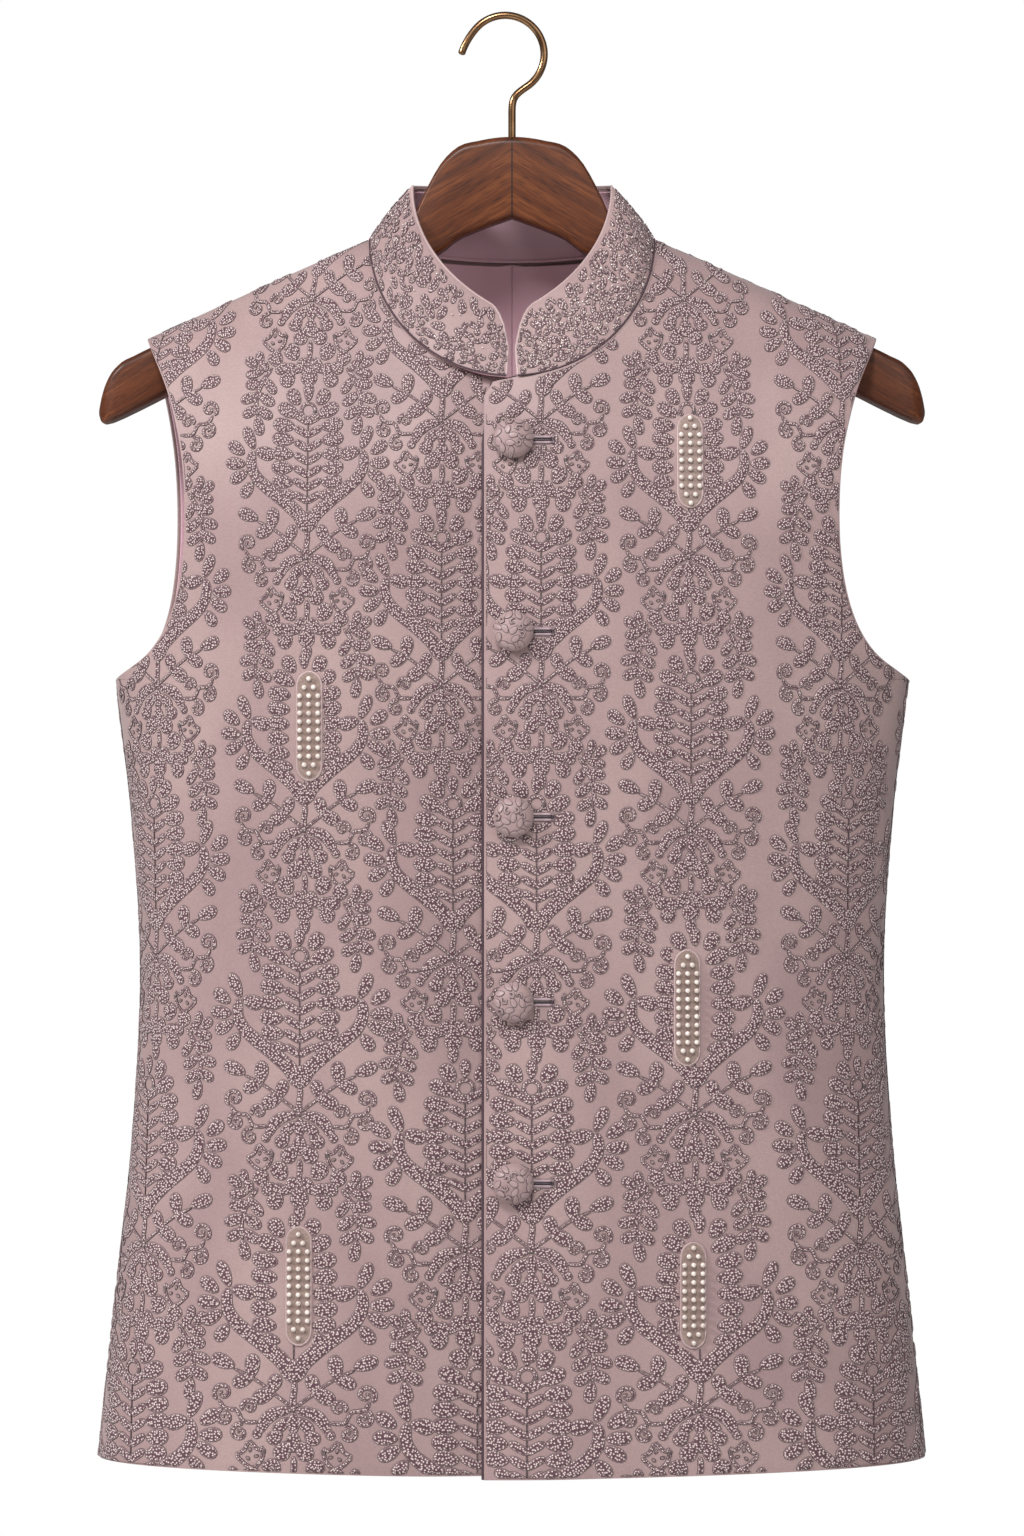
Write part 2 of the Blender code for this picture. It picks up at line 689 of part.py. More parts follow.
def make_hook(collection, finish):
    """The wire hook: a bow that flares at its tip, a bend back and a straight stem."""
    centre_x, centre_z = hook_centre()
    points = []
    for degrees in np.linspace(HOOK_TIP, HOOK_TURN, 28):
        past = (degrees - HOOK_FLARE_FROM) / (HOOK_TIP - HOOK_FLARE_FROM)
        radius = HOOK_RADIUS + HOOK_FLARE * max(past, 0) ** 2
        angle = math.radians(degrees)
        points.append(
            (centre_x + radius * math.cos(angle), centre_z + radius * math.sin(angle))
        )
    start, before = np.array(points[-1]), np.array(points[-2])
    heading = unit(start - before)
    end = np.array([0.0, STEM_START])
    pull = np.linalg.norm(end - start)
    for t in np.linspace(0, 1, 9)[1:]:
        handles = (start, start + heading * pull * 0.5, end + (0, pull * 0.5), end)
        weights = ((1 - t) ** 3, 3 * t * (1 - t) ** 2, 3 * t**2 * (1 - t), t**3)
        points.append(tuple(sum(w * h for w, h in zip(weights, handles))))
    points.append((0.0, HANGER[0][1] - STEM_IN_WOOD))

    curve = bpy.data.curves.new("hook", "CURVE")
    curve.dimensions = "3D"
    curve.bevel_depth = HOOK_WIRE
    curve.bevel_resolution = 2
    curve.use_fill_caps = True
    spline = curve.splines.new("POLY")
    spline.points.add(len(points) - 1)
    for point, (x, z) in zip(spline.points, points):
        point.co = (x, 0, z, 1)
    spline.points[0].radius = 0.55
    curve.materials.append(finish)
    hook = bpy.data.objects.new("hanger_hook", curve)
    collection.objects.link(hook)


def main():
    for obj in list(bpy.data.objects):
        bpy.data.objects.remove(obj)
    jacket = bpy.data.collections.new("nehru jacket on hanger")
    cutters = bpy.data.collections.new("cutters")
    for collection in (jacket, cutters):
        bpy.context.scene.collection.children.link(collection)

    embroidered = material("mauve embroidered silk", (0.36, 0.25, 0.27), 0.62)
    satin = material("mauve satin lining", (0.26, 0.16, 0.19), 0.38)
    ivory = material("ivory pearl ground", (0.62, 0.56, 0.47), 0.45)
    walnut = material("dark walnut", (0.09, 0.03, 0.013), 0.35)
    brass = material("antique brass", (0.32, 0.2, 0.1), 0.3, metallic=1.0)

    make_fronts(jacket, embroidered)
    make_back(jacket, embroidered)
    make_back_linings(jacket, satin)
    make_collar(jacket, embroidered, satin)
    make_buttons(jacket, embroidered)
    make_buttonholes(jacket, satin)
    make_pearl_panels(jacket, ivory)
    make_hanger(jacket, cutters, walnut)
    make_hook(jacket, brass)


main()
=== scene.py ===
"""An embroidered nehru jacket on a wooden hanger, dressed for rendering.

Metres, +Z up. The origin is the seat of the hook. The jacket faces -Y, so its
wearer's left side is at +X.
"""

import math

import bmesh
import bpy
import numpy as np
from bpy.props import FloatProperty, PointerProperty
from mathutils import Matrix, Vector


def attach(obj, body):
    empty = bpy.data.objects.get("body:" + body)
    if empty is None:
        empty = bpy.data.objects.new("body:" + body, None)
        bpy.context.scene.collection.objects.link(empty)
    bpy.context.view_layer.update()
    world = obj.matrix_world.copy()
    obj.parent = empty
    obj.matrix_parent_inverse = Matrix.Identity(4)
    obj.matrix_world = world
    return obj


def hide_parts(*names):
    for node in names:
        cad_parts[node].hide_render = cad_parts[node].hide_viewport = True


bl_info = {
    "name": "Nehru Jacket on a Hanger",
    "version": (1, 0, 0),
    "blender": (4, 5, 0),
    "location": "3D View > Sidebar > Jacket",
    "description": "Builds an embroidered nehru jacket that hangs on a wooden hanger",
    "category": "Add Mesh",
}

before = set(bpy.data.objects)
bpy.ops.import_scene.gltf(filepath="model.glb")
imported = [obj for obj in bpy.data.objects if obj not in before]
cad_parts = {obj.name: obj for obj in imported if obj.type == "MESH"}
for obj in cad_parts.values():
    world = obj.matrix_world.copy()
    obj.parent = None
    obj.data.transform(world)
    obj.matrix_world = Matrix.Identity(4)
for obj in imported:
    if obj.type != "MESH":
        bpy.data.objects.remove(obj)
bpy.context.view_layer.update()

# ---------------------------------------------------------------- the jacket's cut

GAP = 0.0003  # between two pieces at a seam
SHELL = 0.0020  # the silk with its interlining
LINING = 0.0010
LINING_GAP = 0.0016  # between the silk and its lining
FINE = 5  # steps of the cloth's mesh for each step of the cut's grid
PANEL_ROWS = (12, 7)  # below the armpit, and beside the armhole
NECK_STEPS = 8
PANEL_COLUMNS = 11
NECK_CROWDING = 1.6  # how much closer together the cut's points lie at the shoulder
SIDE_CROWDING = 1.35  # at the side
ARMPIT_CROWDING = 1.5  # at the armpit
MIDDLE_ROWS = sum(PANEL_ROWS)
NECK_BINDING = 0.0010  # its radius
HEM_SHARE, EDGE_SHARE = 0.5, 0.12  # how far linings are drawn in, in steps of the cut

BODY = np.array(
    [  # height, half width, front depth, back depth
        (-0.090, 0.2420, 0.068, 0.066),
        (-0.200, 0.2400, 0.070, 0.070),
        (-0.290, 0.2320, 0.074, 0.073),
        (-0.370, 0.2215, 0.077, 0.074),
        (-0.448, 0.2122, 0.075, 0.071),
        (-0.526, 0.2075, 0.072, 0.067),
        (-0.627, 0.2122, 0.073, 0.068),
        (-0.717, 0.2220, 0.077, 0.072),
        (-0.807, 0.2315, 0.082, 0.077),
    ]
)
SQUARENESS = 2.5  # of the body's plan: 2 is an ellipse

NECK_HALF = 0.0795
NECK_POINT = -0.1232
SHOULDER_TIP = 0.2038
SHOULDER_SLOPE = 0.47
RIDGE_EASE = 0.040
FRONT, BACK = -1, 1
FALL = {  # below the shoulder: its distance at neck and tip, then its power at both
    FRONT: ((0.170, 0.110), (1.6, 2.0)),
    BACK: ((0.120, 0.100), (1.8, 2.0)),
}
FRONT_NECK = -0.2040
BACK_NECK = -0.1316
ARMPIT = -0.3700
HEM_SIDE = -0.8025
HEM_FRONT = {"over": -0.8073, "under": -0.8060}
HEM_BACK = -0.8060
ARMHOLE = {  # from the armpit up: across, height
    FRONT: (
        (0.2215, -0.370),
        (0.1995, -0.354),
        (0.1865, -0.330),
        (0.1805, -0.295),
        (0.1815, -0.252),
        (0.1895, -0.214),
        (0.2038, -0.1792),
    ),
    BACK: (
        (0.2215, -0.370),
        (0.2035, -0.354),
        (0.1930, -0.330),
        (0.1883, -0.295),
        (0.1890, -0.252),
        (0.1945, -0.214),
        (0.2038, -0.1792),
    ),
}
ARMHOLE_SHARE = {FRONT: 0.72, BACK: 0.84}  # of the armhole, below the neck's rows
BACK_SWAY = -0.0025  # the back's armholes lie this much towards the wearer's right
LAP_OVER = 0.0153  # how far each front goes past the middle
LAP_UNDER = 0.0170
LAP_STEP = 0.0018  # how far each front steps off the body where they lap
LAP_BLEND = 0.033
VALLEY = 0.0060  # how far both fronts dip where they lap
VALLEY_REACH = 0.070
LAP_CORNER_DROP = 0.0036
LAP_CORNER = 0.0045  # radius of the lap's top corner

COLLAR_GAP = 0.0066  # between its two ends
COLLAR_HEIGHT = 0.040
COLLAR_CORNER = 0.020  # radius of its front corners
COLLAR_ROWS = 5
COLLAR_TOP_HALF = 0.0560
COLLAR_TOP_FRONT = (-0.040, -0.168)
COLLAR_TOP_SIDE = -0.093
COLLAR_TOP_BACK = (0.034, -0.0905)
COLLAR_LEAN = 0.14  # how far its top is turned forward of its seam, in radians
COLLAR_BEND = 0.33  # how far it is drawn out the way it leaves its seam, in its heights
COLLAR_UPRIGHT = 0.6  # how much of that way is straight up, away from its ends

BUTTON_HEIGHTS = (-0.2393, -0.3444, -0.4456, -0.5468, -0.6458)
BUTTON_ACROSS = 0.0008
BUTTON_RADIUS = 0.0110
BUTTON_DOME = 0.0080
BUTTON_RIM = 0.0012  # height of its side, under the dome
BUTTON_POWER = 0.8  # below 1, the dome is fuller than a ball
SHANK_RADIUS = 0.0030
SHANK_LENGTH = 0.0025
HOLE_INNER, HOLE_OUTER = 0.0060, 0.0225
SLIT = 0.0008  # half its width

PEARL_PANELS = (  # across, height of its middle, length
    (0.0976, -0.2508, 0.051),
    (0.0958, -0.5501, 0.063),
    (0.0990, -0.7070, 0.057),
    (-0.1107, -0.3959, 0.059),
    (-0.1165, -0.7022, 0.064),
)
PEARL_PANEL_WIDTH = 0.0150
PEARL_PANEL_THICK = 0.0008
PEARL_PANEL_END = 0.0080
PEARL_PANEL_MARGIN = 0.0008  # left for the cord round the panel
PEARL_CORD, PEARL_CORD_LIFT = 0.0006, 0.0007
PEARL_PITCH = 0.0050, 0.0047  # across, up
PEARL_END = 0.0040  # bare length at a panel's ends, together
PEARL_SUNK = 0.42  # height of a pearl's middle over the panel, in its diameters

HANGER = np.array(
    [  # from its middle: across, top, bottom, half thickness
        (0.0000, -0.0661, -0.1114, 0.0090),
        (0.0180, -0.0682, -0.1180, 0.0090),
        (0.0312, -0.0724, -0.1240, 0.0095),
        (0.0395, -0.0808, -0.1305, 0.0100),
        (0.0479, -0.0956, -0.1348, 0.0100),
        (0.0545, -0.1100, -0.1387, 0.0100),
        (0.0590, -0.1195, -0.1408, 0.0100),
        (0.0670, -0.1262, -0.1449, 0.0105),
        (0.0800, -0.1292, -0.1516, 0.0110),
        (0.1100, -0.1425, -0.1672, 0.0120),
        (0.1400, -0.1554, -0.1828, 0.0130),
        (0.1700, -0.1696, -0.1984, 0.0140),
        (0.1950, -0.1813, -0.2114, 0.0145),
        (0.2100, -0.1885, -0.2190, 0.0142),
        (0.2195, -0.1938, -0.2236, 0.0130),
        (0.2250, -0.2005, -0.2258, 0.0112),
        (0.2285, -0.2085, -0.2260, 0.0085),
        (0.2303, -0.2150, -0.2240, 0.0050),
        (0.2310, -0.2185, -0.2215, 0.0020),
    ]
)
HANGER_EDGE = 0.0042  # radius of its rounded edges
HANGER_TIP_FROM = 0.190

HOOK_WIRE = 0.0021
HOOK_RADIUS = 0.0218
HOOK_SHIFT = -0.0038
HOOK_FLARE = 0.0025
HOOK_TIP, HOOK_FLARE_FROM, HOOK_TURN = 178.0, 140.0, -57.0
STEM_START = -0.0520
STEM_IN_WOOD = 0.0120

# ---------------------------------------------------------------- embroidery

# Each column of trees: the height where a tree's arms meet, and the stretch of what
# lies below. The trees grow towards the hem, as the body widens.
TREES = {
    "level": (
        (-0.1440, 0.97),
        (-0.2884, 0.97),
        (-0.4375, 0.98),
        (-0.5925, 1.01),
        (-0.7530, 1.04),
        (-0.9120, 1.05),
    ),
    "half drop": (
        (-0.0690, 0.96),
        (-0.2141, 0.96),
        (-0.3588, 0.97),
        (-0.5073, 0.99),
        (-0.6662, 1.04),
        (-0.8260, 1.06),
    ),
}
# How far round the body from the middle each column runs, at the chest and the hem.
COLUMNS = {
    "over": (
        (0.0158, 0.0085, "half drop"),
        (0.0968, 0.1035, "level"),
        (0.1835, 0.2025, "half drop"),
        (0.2700, 0.2950, "level"),
    ),
    "under": (
        (-0.0385, -0.0200, "half drop"),
        (-0.1125, -0.1205, "level"),
        (-0.2000, -0.2160, "half drop"),
        (-0.2850, -0.3050, "level"),
    ),
    "back left": (
        (0.0850, 0.0900, "half drop"),
        (0.1700, 0.1820, "level"),
        (0.2550, 0.2740, "half drop"),
    ),
    "back middle": ((0.0, 0.0, "level"),),
}
COLUMNS["back right"] = [(-chest, -hem, kind) for chest, hem, kind in COLUMNS["back left"]]
CHEST, HEM = -0.36, -0.80

# One tree of the pattern, in millimetres from where its arms meet, for its right
# side. The left side mirrors it.
LEAVES = (  # across, up, direction in degrees, length, width
    # the fan at the end of each arm
    (34.9, 51.8, 66, 14.6, 7.5),
    (42.7, 45.9, 35, 11.9, 8.0),
    (43.2, 37.4, 4, 12.5, 8.0),
    (41.2, 30, -30, 12.5, 7.7),
    (36, 22.4, -52, 11.0, 7.7),
    (25.5, 43, 196, 12.5, 8.7),
    # the fern between the arms
    (8.6, 75, 54, 11.2, 8.9),
    (11.8, 67.2, 27, 14.6, 8.9),
    (14.4, 59, 10, 13.9, 9.1),
    (14.8, 51, 8, 13.9, 9.1),
    (15, 42.9, 6, 13.5, 9.1),
    (15.2, 34.9, 6, 13.3, 9.1),
    (14.6, 27, 9, 12.9, 8.9),
    (11, 19.8, 16, 9.4, 6.1),
    # the sprig beside the stem
    (9.6, -2.4, 112, 11, 7.8),
    (14.8, -8.6, -30, 13.4, 8.8),
    (20.6, 6.4, 96, 12.6, 8.6),
    (25.2, -0.8, -28, 12.6, 8),
    (35.4, 8.2, 21, 13.4, 8.2),
    # the lotus under its canopy
    (5.8, -23.8, -44, 11.4, 6.8),
    (17.9, -28.4, -60, 6.2, 5.4),
    (9.2, -30.2, -42, 9.4, 8.2),
    (5.4, -37.4, -66, 11.2, 9.8),
    # the round leaves below it
    (10.5, -46.7, 62, 11.2, 10.5),
    (20.4, -50.8, 62, 10.0, 9.8),
    (4.8, -54.6, 116, 10.6, 7.0),
    (10.4, -56.8, 15, 9.8, 7.7),
    (16.6, -56.2, -40, 8.9, 7.3),
    (12.8, -62.8, -44, 10.2, 9.8),
    # the side flower
    (30, -50.2, 80, 8.7, 5.8),
    (35, -52.8, 40, 9.2, 6.8),
    (32.6, -58.9, -14, 12.1, 6.6),
    (27.2, -55, 60, 7.3, 6.3),
    # the drooping spray
    (23.4, -66.4, 234, 12.4, 6.4),
    (32.4, -65.4, -6, 12.4, 7.6),
    (35.2, -73.4, -18, 12.4, 7.2),
    (34.4, -81.2, -30, 12, 7),
    (25.4, -74.2, 215, 12.4, 7.2),
    (26.4, -82, 215, 12, 7),
    (29.6, -89.6, -102, 12, 7.2),
)
MIDDLE_LEAVES = (
    (0.0, 77.4, 90, 10.0, 6.4),
    (0.0, 4.6, -90, 12.0, 7.6),
    (0.0, -22.6, -90, 11.6, 6.4),
    (0.0, -32.6, -90, 11.6, 8.6),
    (0.0, -60.6, -90, 12.4, 11.0),
    (0.0, -69.4, 90, 9.4, 7.0),
)
BANDS = (  # width at the start, middle and end; then points along it
    # the arm
    (
        (8.8, 8.4, 6.2),
        ((0.4, -1), (4.2, 7.2), (10.6, 13.4), (17.2, 18.8), (23.7, 23.4), (29.2, 28),
         (32.6, 33), (33.8, 38), (33.0, 44.6)),
    ),
    # the sprig's stalk
    (
        (2.2, 2.0, 1.7),
        ((0.8, -14.4), (8.7, -8.4), (13.2, -4.6), (17.8, -1.3), (22.4, 1.6), (30, 4.8)),
    ),
    # the canopy over the lotus
    (
        (4.8, 7.6, 5.4),
        ((1.2, -16), (6, -16.7), (10.3, -18.3), (13.9, -21.5), (16, -25.2), (17.2, -28.6)),
    ),
    # the scroll between the curls
    (
        (2.6, 2.5, 2.4),
        ((37.4, -11.2), (35.2, -15.2), (31.6, -16.2), (28.3, -16.6), (26.7, -19.7),
         (24.4, -22.6), (17.4, -22.5)),
    ),
    # the stem of the drooping spray
    (
        (2.8, 3.4, 2.6),
        ((22.4, -56), (26.6, -61.7), (29.6, -67.5), (31.2, -73), (31.4, -79.4), (30.4, -84)),
    ),
)
MIDDLE_BANDS = (
    ((3.2, 3.6, 4.0), ((0, 1.6), (0.4, -5), (-0.3, -10), (0, -17))),
    ((0.9, 0.9, 0.9), ((0, 10), (0, 28), (0, 46), (0, 64))),
    ((3.6, 3.4, 4.0), ((0, -40), (0.3, -46), (-0.2, -50), (0, -57))),
)
CHEVRON = ((-8.4, 4.4), (-4.4, 2.1), (0, 0), (4.4, 2.1), (8.4, 4.4))
CHEVRON_WIDTH = 4.9
CHEVRONS = (61.0, 53.7, 45.8, 38.4, 31.0, 23.7, 16.3)
SPIRALS = (  # across, up, radius, degrees where its outer end lies, turns
    (35.4, -7.6, 4.9, -50, 1.4),
    (34.4, -20.2, 4.5, 75, -1.4),
    (22.0, -14.8, 4.0, -25, 1.4),
    (26.8, -28.2, 4.6, 110, -1.4),
)
SPIRAL_WIDTH = 3.1
CROWN = (  # the outline of the flower over the round leaves
    (14.2, -35.3),
    (17.4, -37.6),
    (22.0, -31.8),
    (24.6, -38.0),
    (29.0, -39.8),
    (23.9, -45.0),
    (19.7, -47.0),
    (15.8, -42.6),
)
CROWN_WIDTH = 2.5
SEEDS = (75, 195, 315)  # directions of the three small leaves inside the crown
SEED_REACH, SEED_LENGTH, SEED_WIDTH = 2.6, 3.0, 2.2
RING = (0.0, 67.2, 4.2, 2.6)  # the opening at the fern's top
MM = 0.001

WIDEST_ARC, ARC_STEP = 0.32, 0.001  # of the table from the flat pattern to the body
BORDER_REACH = 0.030  # shapes within this of a panel's border may be cut by it
BORDER_MARGIN = 0.0012
MOST_LOST = 0.72  # a shape that loses more of itself at the border is left out
HELD_DOWN = -0.0004  # height of the embroidery under a trim

# ---------------------------------------------------------------- studio

CAMERA_PLACE = (0, -3.0, -0.4189)
CAMERA_LENS = 125.6  # millimetres
LIGHTS = (  # place, what it is aimed at, size, watts
    ("key", (-3.0, -1.8, 1.5), (0, 0, -0.4), 0.6, 96),
    ("fill", (1.5, -2.3, 0.8), (0, 0, -0.4), 2.0, 20),
    ("top", (-0.5, -2.2, 1.5), (0, 0, -0.2), 0.6, 54),
)
SURROUND = 0.2  # how strongly the white surround lights the jacket
FLOOR_HEIGHT, FLOOR_RADIUS = -1.35, 3.2

MATERIALS = {}

# ---------------------------------------------------------------- curves


def through(knots, values, at):
    """Smooth curve through a table's values, read at the given places."""
    order = np.argsort(knots)
    knots, values = np.asarray(knots)[order], np.asarray(values)[order]
    slopes = np.gradient(values, knots)
    at = np.clip(at, knots[0], knots[-1])
    i = np.clip(np.searchsorted(knots, at) - 1, 0, len(knots) - 2)
    width = knots[i + 1] - knots[i]
    t = (at - knots[i]) / width
    rise = values[i + 1] - values[i]
    ends = slopes[i] * (1 - t) - slopes[i + 1] * t
    bend = rise * (2 * t - 1)
    return values[i] + rise * t + t * (1 - t) * (ends * width + bend)


def read_grid(table, row, column):
    """A grid's values at places between its rows and columns."""
    i = np.clip(row.astype(int), 0, table.shape[0] - 2)
    j = np.clip(column.astype(int), 0, table.shape[1] - 2)
    u, v = row - i, column - j
    if table.ndim > 2:
        u, v = u[:, None], v[:, None]
    low = table[i, j] * (1 - v) + table[i, j + 1] * v
    high = table[i + 1, j] * (1 - v) + table[i + 1, j + 1] * v
    return low * (1 - u) + high * u


def smoothstep(x):
    """A smooth rise from 0 to 1."""
    x = np.clip(x, 0, 1)
    return x * x * (3 - 2 * x)


def crowded(count, power):
    """Fractions from 0 to 1 that lie closer together towards 1."""
    return 1 - (1 - np.linspace(0, 1, count)) ** power


def spaced(points, fractions):
    """Points at these fractions of a polyline's length."""
    reached = lengths_along(points)
    at = np.asarray(fractions) * reached[-1]
    return np.stack([np.interp(at, reached, column) for column in points.T], axis=1)


def lengths_along(points):
    """How far along a polyline each of its points lies."""
    steps = np.linalg.norm(np.diff(points, axis=0), axis=1)
    return np.concatenate([[0], np.cumsum(steps)])


def unit(vectors):
    return vectors / np.linalg.norm(vectors, axis=-1, keepdims=True)


# ---------------------------------------------------------------- the body


def ridge(x):
    """Height of the shoulder line, which runs on smoothly inside the neck."""
    run = np.hypot(x, RIDGE_EASE) - math.hypot(NECK_HALF, RIDGE_EASE)
    return NECK_POINT - SHOULDER_SLOPE * run


def cloth(x, z, side):
    """How far the cloth's outer face lies from the middle plane, as y."""
    half = through(BODY[:, 0], BODY[:, 1], z)
    depth = through(BODY[:, 0], BODY[:, 2 if side == FRONT else 3], z)
    (fall_neck, fall_tip), (power_neck, power_tip) = FALL[side]
    outward = smoothstep((np.abs(x) - NECK_HALF) / (SHOULDER_TIP - NECK_HALF))
    fall = fall_neck + (fall_tip - fall_neck) * outward
    power = power_neck + (power_tip - power_neck) * outward
    plan = (1 - np.clip(np.abs(x) / half, 0, 1) ** SQUARENESS) ** (1 / SQUARENESS)
    left = 1 - np.clip((ridge(x) - z) / fall, 0, 1)
    return side * depth * plan * (1 - left**power) ** (1 / power)


def surface_normal(x, z, side):
    """Outward normal of the body's surface at places given by x and z."""
    step = 2e-4
    z = np.minimum(z, ridge(x) - 2 * step)
    slope_x = (cloth(x + step, z, side) - cloth(x - step, z, side)) / (2 * step)
    slope_z = (cloth(x, z + step, side) - cloth(x, z - step, side)) / (2 * step)
    return unit(np.stack([-slope_x, np.ones_like(x), -slope_z], axis=-1) * side)


def lap(x, layer):
    """How far a front is shifted, as y, where the two fronts lap.

    x is measured from the middle towards that front's own side.
    """
    shift = -LAP_STEP if layer == "over" else LAP_STEP
    shift = shift * smoothstep((LAP_UNDER + LAP_BLEND - x) / LAP_BLEND)
    floor = -LAP_UNDER if layer == "over" else LAP_UNDER
    return shift + VALLEY * np.clip(1 - (x - floor) / VALLEY_REACH, 0, 1) ** 2


def neck_curve(side, turn):
    """The neck seam at x >= 0, from the middle (turn 0) to the shoulder (turn 1)."""
    angle = np.asarray(turn) * math.pi / 2
    x = NECK_HALF * np.sin(angle)
    if side == FRONT:
        return x, NECK_POINT + (FRONT_NECK - NECK_POINT) * np.cos(angle)
    return x, NECK_POINT + (BACK_NECK - NECK_POINT) * np.cos(angle) ** 1.5


def neck_turns(side):
    """Where the cut's points on the neck seam lie, as turns."""
    start = math.asin(COLLAR_GAP / 2 / NECK_HALF) / (math.pi / 2) if side == FRONT else 0
    return start + (1 - start) * crowded(NECK_STEPS + 1, NECK_CROWDING)


def finely(nodes):
    """The same nodes with FINE steps between each two."""
    at = np.arange((len(nodes) - 1) * FINE + 1) / FINE
    nodes = np.asarray(nodes, float).reshape(len(nodes), -1)
    fine = [np.interp(at, np.arange(len(nodes)), column) for column in nodes.T]
    return np.stack(fine, axis=1)


def neck_edge(side, edge):
    """Fine (x, z) points along the neck edge of a half panel that starts at edge."""
    x, z = neck_curve(side, finely(neck_turns(side))[:, 0])
    seam = np.stack([x, z], axis=1)
    if edge < 0:
        corner = (edge, FRONT_NECK - LAP_CORNER_DROP)
        seam = np.concatenate([finely([corner, seam[0]])[:-1], seam])
    return seam


def armhole_edge(side, sway):
    """The armhole from the armpit to the shoulder tip, as (x, z) points at x > 0."""
    table = np.array(ARMHOLE[side])
    t = np.linspace(0, 1, 200)
    knots = np.linspace(0, 1, len(table))
    x = through(knots, table[:, 0], t) + sway * np.sin(math.pi * t)
    z = through(knots, table[:, 1], t)
    z[-1] = ridge(x[-1])
    return np.stack([x, z], axis=1)


def round_corner(x, z, edge):
    """Draw a row's first point in, where it lies past the lap's rounded corner."""
    top = FRONT_NECK - LAP_CORNER_DROP
    up = np.clip(z - (top - LAP_CORNER), 0, LAP_CORNER)
    return np.maximum(x, edge + LAP_CORNER - np.sqrt(LAP_CORNER**2 - up**2))


def half_panel(side, mirror, edge=0.0, layer=None):
    """Fine grid of points over one half of the front or back, hem to shoulder.

    mirror is +1 for the wearer's left, -1 for the right. edge is where the half
    starts, and layer is the front's place in the lap.
    """
    below, beside = (count * FINE for count in PANEL_ROWS)
    hem = HEM_FRONT[layer] if side == FRONT else HEM_BACK
    neck = neck_edge(side, edge)
    hole = armhole_edge(side, mirror * BACK_SWAY if side == BACK else 0.0)
    reach = ARMHOLE_SHARE[side]

    up = np.linspace(0, 1, below + 1)[:-1]
    side_z = HEM_SIDE + (ARMPIT - HEM_SIDE) * up
    left = [np.stack([np.full(below, edge), hem + (ARMPIT - hem) * up], axis=1)]
    right = [np.stack([through(BODY[:, 0], BODY[:, 1], side_z), side_z], axis=1)]
    up = np.linspace(0, 1, beside + 1)[:-1] ** ARMPIT_CROWDING
    neck_z = ARMPIT + (neck[0, 1] - ARMPIT) * up
    left.append(np.stack([np.full(beside, edge), neck_z], axis=1))
    right.append(spaced(hole, up * reach))
    up = crowded(len(neck), NECK_CROWDING)
    left.append(neck)
    right.append(spaced(hole, reach + (1 - reach) * up))
    left, right = np.concatenate(left), np.concatenate(right)
    if layer == "over":
        left[:, 0] = round_corner(left[:, 0], left[:, 1], edge)
    to_top = np.concatenate([np.zeros(below + beside), up**2])

    nodes = np.linspace(0, 1, PANEL_COLUMNS + 1)
    fine_nodes = np.linspace(0, 1, PANEL_COLUMNS * FINE + 1)
    across = crowded(400, 2)
    grid = np.empty((len(left), len(fine_nodes), 3))
    for row, ((x0, z0), (x1, z1), top) in enumerate(zip(left, right, to_top)):
        x = x0 + (x1 - x0) * across
        z = z0 + (z1 - z0) * across
        tip_share = (x - NECK_HALF) / (x1 - NECK_HALF)
        straight = NECK_POINT + (ridge(x1) - NECK_POINT) * tip_share
        bulge = np.where(tip_share > 0, ridge(x) - straight, 0)
        z = np.minimum(z + top * bulge, ridge(x))
        y = cloth(x, z, side)
        if layer:
            y += lap(x, layer)
        points = np.stack([x, y, z], axis=1)
        if row <= below + beside:
            shares = column_shares(points)
        grid[row] = spaced(points, np.interp(fine_nodes, nodes, shares))
    grid[:, :, 1] += side * GAP / 2
    grid[:, :, 0] *= mirror
    return grid


def column_shares(points):
    """Where a row's points lie along it: on the lap's edges, then closer together
    towards the side, where the body turns."""
    reached = lengths_along(points)
    lap_nodes = np.interp(
        [LAP_UNDER, LAP_UNDER + LAP_BLEND], points[:, 0], reached / reached[-1]
    )
    rest = crowded(PANEL_COLUMNS - 1, SIDE_CROWDING)
    return np.concatenate([[0, lap_nodes[0]], lap_nodes[1] + (1 - lap_nodes[1]) * rest])


def outward(grid, side):
    """Unit normals of a half panel. At its seams they lie in the seam's plane."""
    normals = np.cross(np.gradient(grid, axis=0), np.gradient(grid, axis=1))
    middle = normals[len(grid) // 3, grid.shape[1] // 3, 1]
    normals *= side * np.sign(middle)
    top, outer_edge = normals[-1], normals[: PANEL_ROWS[0] * FINE + 1, -1]
    top[:, 1] = 0
    outer_edge[:, 1] = 0
    return unit(normals)


def back_half(mirror):
    """One half of the back: its fine grid and normals, from the middle outwards."""
    fine = half_panel(BACK, mirror)
    normals = outward(fine, BACK)
    normals[: MIDDLE_ROWS * FINE + 1, 0, 0] = 0
    return fine, unit(normals)


